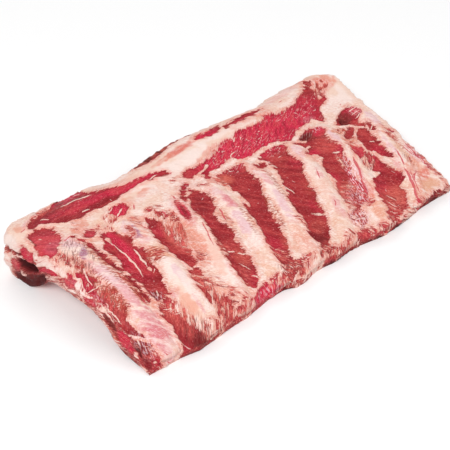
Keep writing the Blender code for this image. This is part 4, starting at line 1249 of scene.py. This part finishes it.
def dress_face(side, along, t, rim):
    """Changes the dressing down a cut face: along is the place on the edge and t runs down the face."""
    swell = np.zeros_like(along)
    streaks = rim["strand"] - 0.5
    below_edge = smooth(t, 0.0, 0.1)
    for number, rows in enumerate(FACES):
        table = np.array(rows, float)
        here = side == number
        depth = np.interp(along, table[:, 0], table[:, 1]) + FACE_STREAKS * streaks
        # Painted shade: each cut face darkens towards its bottom edge.
        shade_below = np.interp(along, table[:, 0], table[:, 2]) * smooth(t + 0.5 * streaks, 0.3, 0.85)
        share = np.where(here, smooth(t, 0.0, 0.12), 0.0)
        rim["lean"] = rim["lean"] + (depth - rim["lean"]) * share
        rim["lean_tone"] = blend_colours(rim["lean_tone"], DARK_RED, np.where(here, shade_below, 0.0))
        rim["fat_tone"] = blend_colours(rim["fat_tone"], BROWN, np.where(here, 0.7 * shade_below, 0.0))
    for (y, depth_down, half_y, half_depth), lean, bulge, tone in LEFT_MARKS:
        reach = 1.0 - np.hypot((along - y) / half_y, (t - depth_down) / half_depth)
        share = np.where(side == LEFT, smooth(reach, 0.0, 0.35), 0.0)
        rough = FACE_STREAKS * streaks * (abs(lean) < FIRM_DEPTH)
        rim["lean"] = rim["lean"] + (lean + rough - rim["lean"]) * share
        swell += bulge * np.where(side == LEFT, smooth(reach, 0.0, 0.8), 0.0)
        if tone:
            rim["lean_tone"] = blend_colours(rim["lean_tone"], tone, 0.85 * share)
        else:
            rim["fat_tone"] = blend_colours(rim["fat_tone"], PALE_CREAM, 0.75 * share)
    rim["texture"][:, 0] = FRAYING + 1.1 * below_edge
    rim["texture"][:, 1] *= 1.0 - 0.7 * below_edge
    rim["marks"][:, 1:] *= 1.0 - 0.6 * below_edge
    return swell


def base_place(column, row):
    """Place on the underside of a point of the grid."""
    return (np.linspace(-LENGTH / 2, LENGTH / 2, SLAB_COLUMNS + 1)[column],
            np.linspace(0.0, WIDTH, SLAB_ROWS + 1)[row])


def build_skin():
    """The outer skin row by row: its places along the slab, its points and their dressing."""
    u, y = np.meshgrid(np.linspace(-LENGTH / 2 + LEFT_LEAN, LENGTH / 2, SLAB_COLUMNS + 1),
                       np.linspace(0.0, WIDTH, SLAB_ROWS + 1))
    u, y = u.ravel(), y.ravel()
    fields = dress(u, y)
    z = outer_skin(u, y) + relief(u, y, fields) - channels(u, y) - edge_drop(u, y)
    points = place(u, y, z)
    for axis, shift in enumerate(ragged_shift(u, y)):
        points[:, axis] += shift / 1000.0
    return u, points, fields


def build_rim(cells, u, skin):
    """Rings of points down the cut faces, from the skin's edge to the underside, and their dressing."""
    columns, rows = SLAB_COLUMNS, SLAB_ROWS
    i, j = np.array(cells).T
    on_skin = i + j * (columns + 1)
    low_u, low_y = base_place(i, j)
    top = skin[on_skin] * 1000.0
    bottom = place(low_u, low_y, inner_skin(low_u, low_y)) * 1000.0
    down = np.linalg.norm(top - bottom, axis=1)
    side = np.searchsorted((columns, columns + rows, 2 * columns + rows), np.arange(len(cells)), side="right")
    way, bulge, slant = (np.array(table)[side] for table in (FACE_WAYS, FACE_BULGES, FACE_SLANTS))
    edge_u, edge_y = u[on_skin], low_y
    along = np.where(way[:, 1] != 0.0, edge_u, edge_y)
    rings, dressings = [], []
    for k in range(1, RIM_ROWS + 1):
        t = k / RIM_ROWS
        rim_u, rim_y = edge_u + slant[:, 0] * (t * down), edge_y + slant[:, 1] * (t * down)
        rim = dress(rim_u, rim_y)
        marked = dress_face(side, along, t, rim)
        lumps = RIM_LUMPS * (patches(rim_u, rim_y, 7, 31) + patches(rim_u, rim_y, 3, 32) - 1.0)
        swell = bulge * 4.0 * t * (1.0 - t) + (lumps + marked) * min(1.0, 4.0 * t, 6.0 * (1.0 - t) + 0.2)
        swell = swell - RIM_SINK * smooth(rim["lean"], -0.8, 1.6) * min(1.0, 4.0 * t)
        rings.append((top + (bottom - top) * t + way * swell[:, None]) / 1000.0)
        dressings.append(rim)
    return rings, dressings


def build_underside(cells, last_ring, first_number):
    """The hollow underside, coarser than the skin: its border cells take in every point of the rim."""
    columns, rows = range(0, SLAB_COLUMNS, BASE_STEP), range(0, SLAB_ROWS, BASE_STEP)
    inner = [(a, b) for b in rows[1:] for a in columns[1:]]
    index = dict(zip(cells, last_ring))
    index.update({cell: first_number + k for k, cell in enumerate(inner)})
    u, y = base_place(*np.array(inner).T)
    fields = dress(u, y)
    fields["lean"] = np.minimum(fields["lean"], 1.5) - 1.0
    fields["fat_tone"] = blend_colours(fields["fat_tone"], PINK, np.full(len(u), 0.45))
    fields["line"][:, 1] = 0.0
    fields["marks"][:] = 0.0

    def walk(start_cell, end_cell):
        """From one corner of a cell to the next, through the rim's points where it is on the rim."""
        (a0, b0), (a1, b1) = start_cell, end_cell
        steps = max(abs(a1 - a0), abs(b1 - b0))
        path = [(a0 + (a1 - a0) * k // steps, b0 + (b1 - b0) * k // steps) for k in range(steps)]
        return [index[cell] for k, cell in enumerate(path) if k == 0 or cell in index]

    faces = []
    for b0 in rows:
        for a0 in columns:
            a1, b1 = a0 + BASE_STEP, b0 + BASE_STEP
            faces.append(tuple(walk((a0, b0), (a0, b1)) + walk((a0, b1), (a1, b1))
                               + walk((a1, b1), (a1, b0)) + walk((a1, b0), (a0, b0))))
    return place(u, y, inner_skin(u, y)), faces, fields


def grid_faces(columns, rows):
    """Cells of a grid whose points are numbered row by row."""
    return [(i + j * (columns + 1), i + 1 + j * (columns + 1),
             i + 1 + (j + 1) * (columns + 1), i + (j + 1) * (columns + 1))
            for j in range(rows) for i in range(columns)]


def build_slab():
    u, skin, fields = build_skin()
    cells = border_cells()
    rings, dressings = build_rim(cells, u, skin)
    count = len(cells)
    starts = [len(skin) + k * count for k in range(RIM_ROWS)]
    numbers = [[a + b * (SLAB_COLUMNS + 1) for a, b in cells]]
    numbers += [list(range(start, start + count)) for start in starts]
    faces = grid_faces(SLAB_COLUMNS, SLAB_ROWS)
    for upper, lower in zip(numbers[:-1], numbers[1:]):
        faces += [(upper[k], lower[k], lower[(k + 1) % count], upper[(k + 1) % count]) for k in range(count)]
    base, base_faces, base_fields = build_underside(cells, numbers[-1], starts[-1] + count)
    dressings = [fields] + dressings + [base_fields]
    together = {name: np.concatenate([part[name] for part in dressings]) for name in fields}
    return np.concatenate([skin] + rings + [base]), faces + base_faces, together


slab = piece_from("meat_and_fat", *build_slab(), tissue_material("meat_and_fat", 1.0, 0.0006))
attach(slab, "root")
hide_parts("meat_slab")


# ---- The dark strip -----------------------------------------------------------------------------
# A thin strip of dark dried lean on the far side of the slab, left from the next muscle. It shows as
# a dark sliver above the chine edge and is grown onto the fat there.
STRIP_POINTS = (                  # (place along the rack, distance past the chine edge, half height)
    (-74, -1.0, 0.8), (-62, 1.2, 1.8), (-46, 2.6, 2.4), (-30, 3.6, 2.7), (-12, 4.4, 2.7), (6, 5.2, 2.5),
    (24, 5.4, 2.2), (40, 4.0, 1.7), (56, -1.0, 0.8),
)
DRIED = (196, 86, 76)
STRIP_STEPS = 90
STRIP_SIDES = 18
STRIP_DROP = 3.6                  # how far its middle lies below the skin
STRIP_ROOT = 7.0                  # how far it reaches back into the slab
STRIP_ROUGHNESS = 0.22
STRIP_LEAN = 4.0                  # it is lean all through


def tube_faces(rings, count):
    """Faces of a closed tube whose points are numbered ring by ring, with both ends closed."""
    faces = [(k * count + m, k * count + (m + 1) % count,
              (k + 1) * count + (m + 1) % count, (k + 1) * count + m)
             for k in range(rings - 1) for m in range(count)]
    last = (rings - 1) * count
    return faces + [tuple(range(count))[::-1], tuple(range(last, last + count))]


def build_strip():
    table = np.array(STRIP_POINTS, float)
    u = np.linspace(table[0, 0], table[-1, 0], STRIP_STEPS)
    past = np.repeat(np.interp(u, table[:, 0], table[:, 1]), STRIP_SIDES)
    half = np.repeat(np.interp(u, table[:, 0], table[:, 2]), STRIP_SIDES)
    u, angle = np.meshgrid(u, np.linspace(0.0, 2.0 * np.pi, STRIP_SIDES, endpoint=False), indexing="ij")
    u, angle = u.ravel(), angle.ravel()
    rough = 1.0 + STRIP_ROUGHNESS * (mottle(u / 4, angle, 71) - 0.5)
    y = WIDTH - STRIP_ROOT + (past + STRIP_ROOT) * (0.5 + 0.5 * np.cos(angle)) * rough
    z = outer_skin(u, np.full(u.shape, WIDTH)) - STRIP_DROP + half * rough * np.sin(angle)
    fields = dress(u, np.minimum(y, WIDTH))
    fields["lean"] = np.full(u.shape, STRIP_LEAN)
    dried = np.broadcast_to(linear(DRIED), (len(u), 3))
    fields["lean_tone"] = blend_colours(dried, DARK_RED, fields["strand"])
    fields["line"][:, 1] = 0.0
    return place(u, y, z), tube_faces(STRIP_STEPS, STRIP_SIDES), fields


strip = piece_from("dark_strip", *build_strip(), tissue_material("dark_strip", 1.0, 0.0005))
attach(strip, "root")


# ---- The ribs -----------------------------------------------------------------------------------
# Eight flat rib bones, still in the slab. Each is covered by its thin skin and by streaks of fat
# from the meat around it, and was sawn through at the front edge, where its spongy middle shows.
BONE_CROWN = 2.6                  # the rounded outer side stands this proud of the meat
CROWN_POWER = 2.6                 # how flat the middle of that side is
BRIM = 1.14                       # the bone's skin spreads this far past its sides
BRIM_DIP = 1.4
UNDER_WIDTH = 0.97                # share of the width at the sides that lie in the meat
CUT_OVERHANG = 0.6                # the sawn end stands this proud of the front face
HEAD_GAP = 0.9                    # the last ring of points is this far from the head's very end
CUT_ROUNDING = 0.8                # how much of the slab's edge rounding the bone follows
CUT_REACH = 3.0
MIDDLE_CALM = 0.4                 # the crown's middle is this much smoother than its sides
BONE_ROWS = 190
HEAD_ROWS = 30
CROWN_POINTS = 30
UNDER_POINTS = 12


def build_rib(rib):
    shaft = np.linspace(0.0, RIB_END - BONE_HEAD, BONE_ROWS)
    head = RIB_END - BONE_HEAD + (BONE_HEAD - HEAD_GAP) * np.sin(np.linspace(0.05, np.pi / 2, HEAD_ROWS))
    y_rows = np.concatenate([[-CUT_OVERHANG], shaft, head])
    crown = np.linspace(1.0, -1.0, CROWN_POINTS)
    under = np.cos(np.linspace(np.pi, 2 * np.pi, UNDER_POINTS + 2)[1:-1])
    section = np.concatenate([crown, under])
    y, side = np.meshgrid(y_rows, section, indexing="ij")
    upper = np.broadcast_to(np.arange(len(section)) < CROWN_POINTS, y.shape)
    y, side, upper = y.ravel(), side.ravel(), upper.ravel()
    u = rib_line(rib, y) + side * (bone_half(y) * np.where(upper, BRIM, UNDER_WIDTH))
    fields = dress(u, y)
    reach = np.abs(side)
    rise = (BONE_CROWN + BRIM_DIP) * np.clip(1.0 - reach**CROWN_POWER, 0.0, 1.0) * head_taper(y) - BRIM_DIP
    sunk = -BRIM_DIP - (bone_depth(y) - BRIM_DIP) * np.sqrt(np.clip(1.0 - side**2, 0.0, 1.0))
    lift = relief(u, y, fields) * (1.0 - MIDDLE_CALM * (1.0 - reach))
    rounding = EDGE_ROUNDING * CUT_ROUNDING * np.clip(1.0 - y / CUT_REACH, 0.0, 1.0) ** 2
    z = outer_skin(u, np.maximum(y, 0.0)) + np.where(upper, rise + lift, sunk)
    z -= np.where(upper, rounding, 0.0)
    points = place(u, np.maximum(y, 0.0), z)
    points[:, 1] += np.minimum(y, 0.0) / 1000.0
    faces = [face[::-1] for face in tube_faces(len(y_rows), len(section))]    # so that they face outwards
    return points, faces, fields


rib_material = tissue_material("rib_and_skin", 0.9, 0.0004)
for rib_number in range(len(RIB_FRONT)):
    rib_piece = piece_from("rib_bone_%d" % (rib_number + 1), *build_rib(rib_number), rib_material)
    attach(rib_piece, "root")
    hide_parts("rib_%d" % (rib_number + 1))


# ---- The stage ----------------------------------------------------------------------------------
# A plain pale floor, three broad soft lamps and an even pale surround. The camera looks down on the
# rack from beyond its front left corner.
FLOOR_HALF = 4.0
FLOOR_SHADE = 0.97
FLOOR_ROUGHNESS = 0.8
SURROUND_STRENGTH = 0.5
LAMPS = (                         # (place, size, power), all aimed at the rack
    ((-1.2, -0.8, 1.8), 0.8, 27.0), ((1.4, -1.0, 1.5), 1.2, 10.0), ((0.2, 1.6, 1.7), 1.4, 9.0),
)
CAMERA_PLACE = Vector((-0.5417, -0.6702, 0.8025))
CAMERA_AZIMUTH = np.radians(-38.17)
CAMERA_ELEVATION = np.radians(43.03)
CAMERA_ROLL = np.radians(-1.2)
CAMERA_LENS = 84.3


def build_floor():
    mesh = bpy.data.meshes.new("floor")
    h = FLOOR_HALF
    mesh.from_pydata([(-h, -h, 0.0), (h, -h, 0.0), (h, h, 0.0), (-h, h, 0.0)], [], [(0, 1, 2, 3)])
    material = bpy.data.materials.new("pale_floor")
    material.use_nodes = True
    shader = material.node_tree.nodes["Principled BSDF"]
    shader.inputs["Base Color"].default_value = (FLOOR_SHADE, FLOOR_SHADE, FLOOR_SHADE, 1.0)
    shader.inputs["Roughness"].default_value = FLOOR_ROUGHNESS
    mesh.materials.append(material)
    floor = bpy.data.objects.new("floor", mesh)
    bpy.context.scene.collection.objects.link(floor)


def aimed(thing, spot, back, roll=0.0):
    """Puts a lamp or the camera at a spot, looking away from the direction called back."""
    thing.location = spot
    thing.rotation_mode = "QUATERNION"
    turn = Quaternion((0.0, 0.0, 1.0), roll)
    thing.rotation_quaternion = (-Vector(back)).to_track_quat("-Z", "Y") @ turn
    bpy.context.scene.collection.objects.link(thing)


build_floor()
for number, (spot, size, power) in enumerate(LAMPS):
    lamp = bpy.data.lights.new("lamp_%d" % (number + 1), "AREA")
    lamp.size = size
    lamp.energy = power
    aimed(bpy.data.objects.new(lamp.name, lamp), spot, spot)
world = bpy.data.worlds.new("surround")
world.use_nodes = True
world.node_tree.nodes["Background"].inputs["Color"].default_value = (1.0, 1.0, 1.0, 1.0)
world.node_tree.nodes["Background"].inputs["Strength"].default_value = SURROUND_STRENGTH
bpy.context.scene.world = world
bpy.context.scene.view_settings.view_transform = "Standard"

camera = bpy.data.cameras.new("camera")
camera.lens = CAMERA_LENS
back = Vector((np.sin(CAMERA_AZIMUTH) * np.cos(CAMERA_ELEVATION),
               -np.cos(CAMERA_AZIMUTH) * np.cos(CAMERA_ELEVATION), np.sin(CAMERA_ELEVATION)))
eye = bpy.data.objects.new("camera", camera)
aimed(eye, CAMERA_PLACE, back, CAMERA_ROLL)
bpy.context.scene.camera = eye
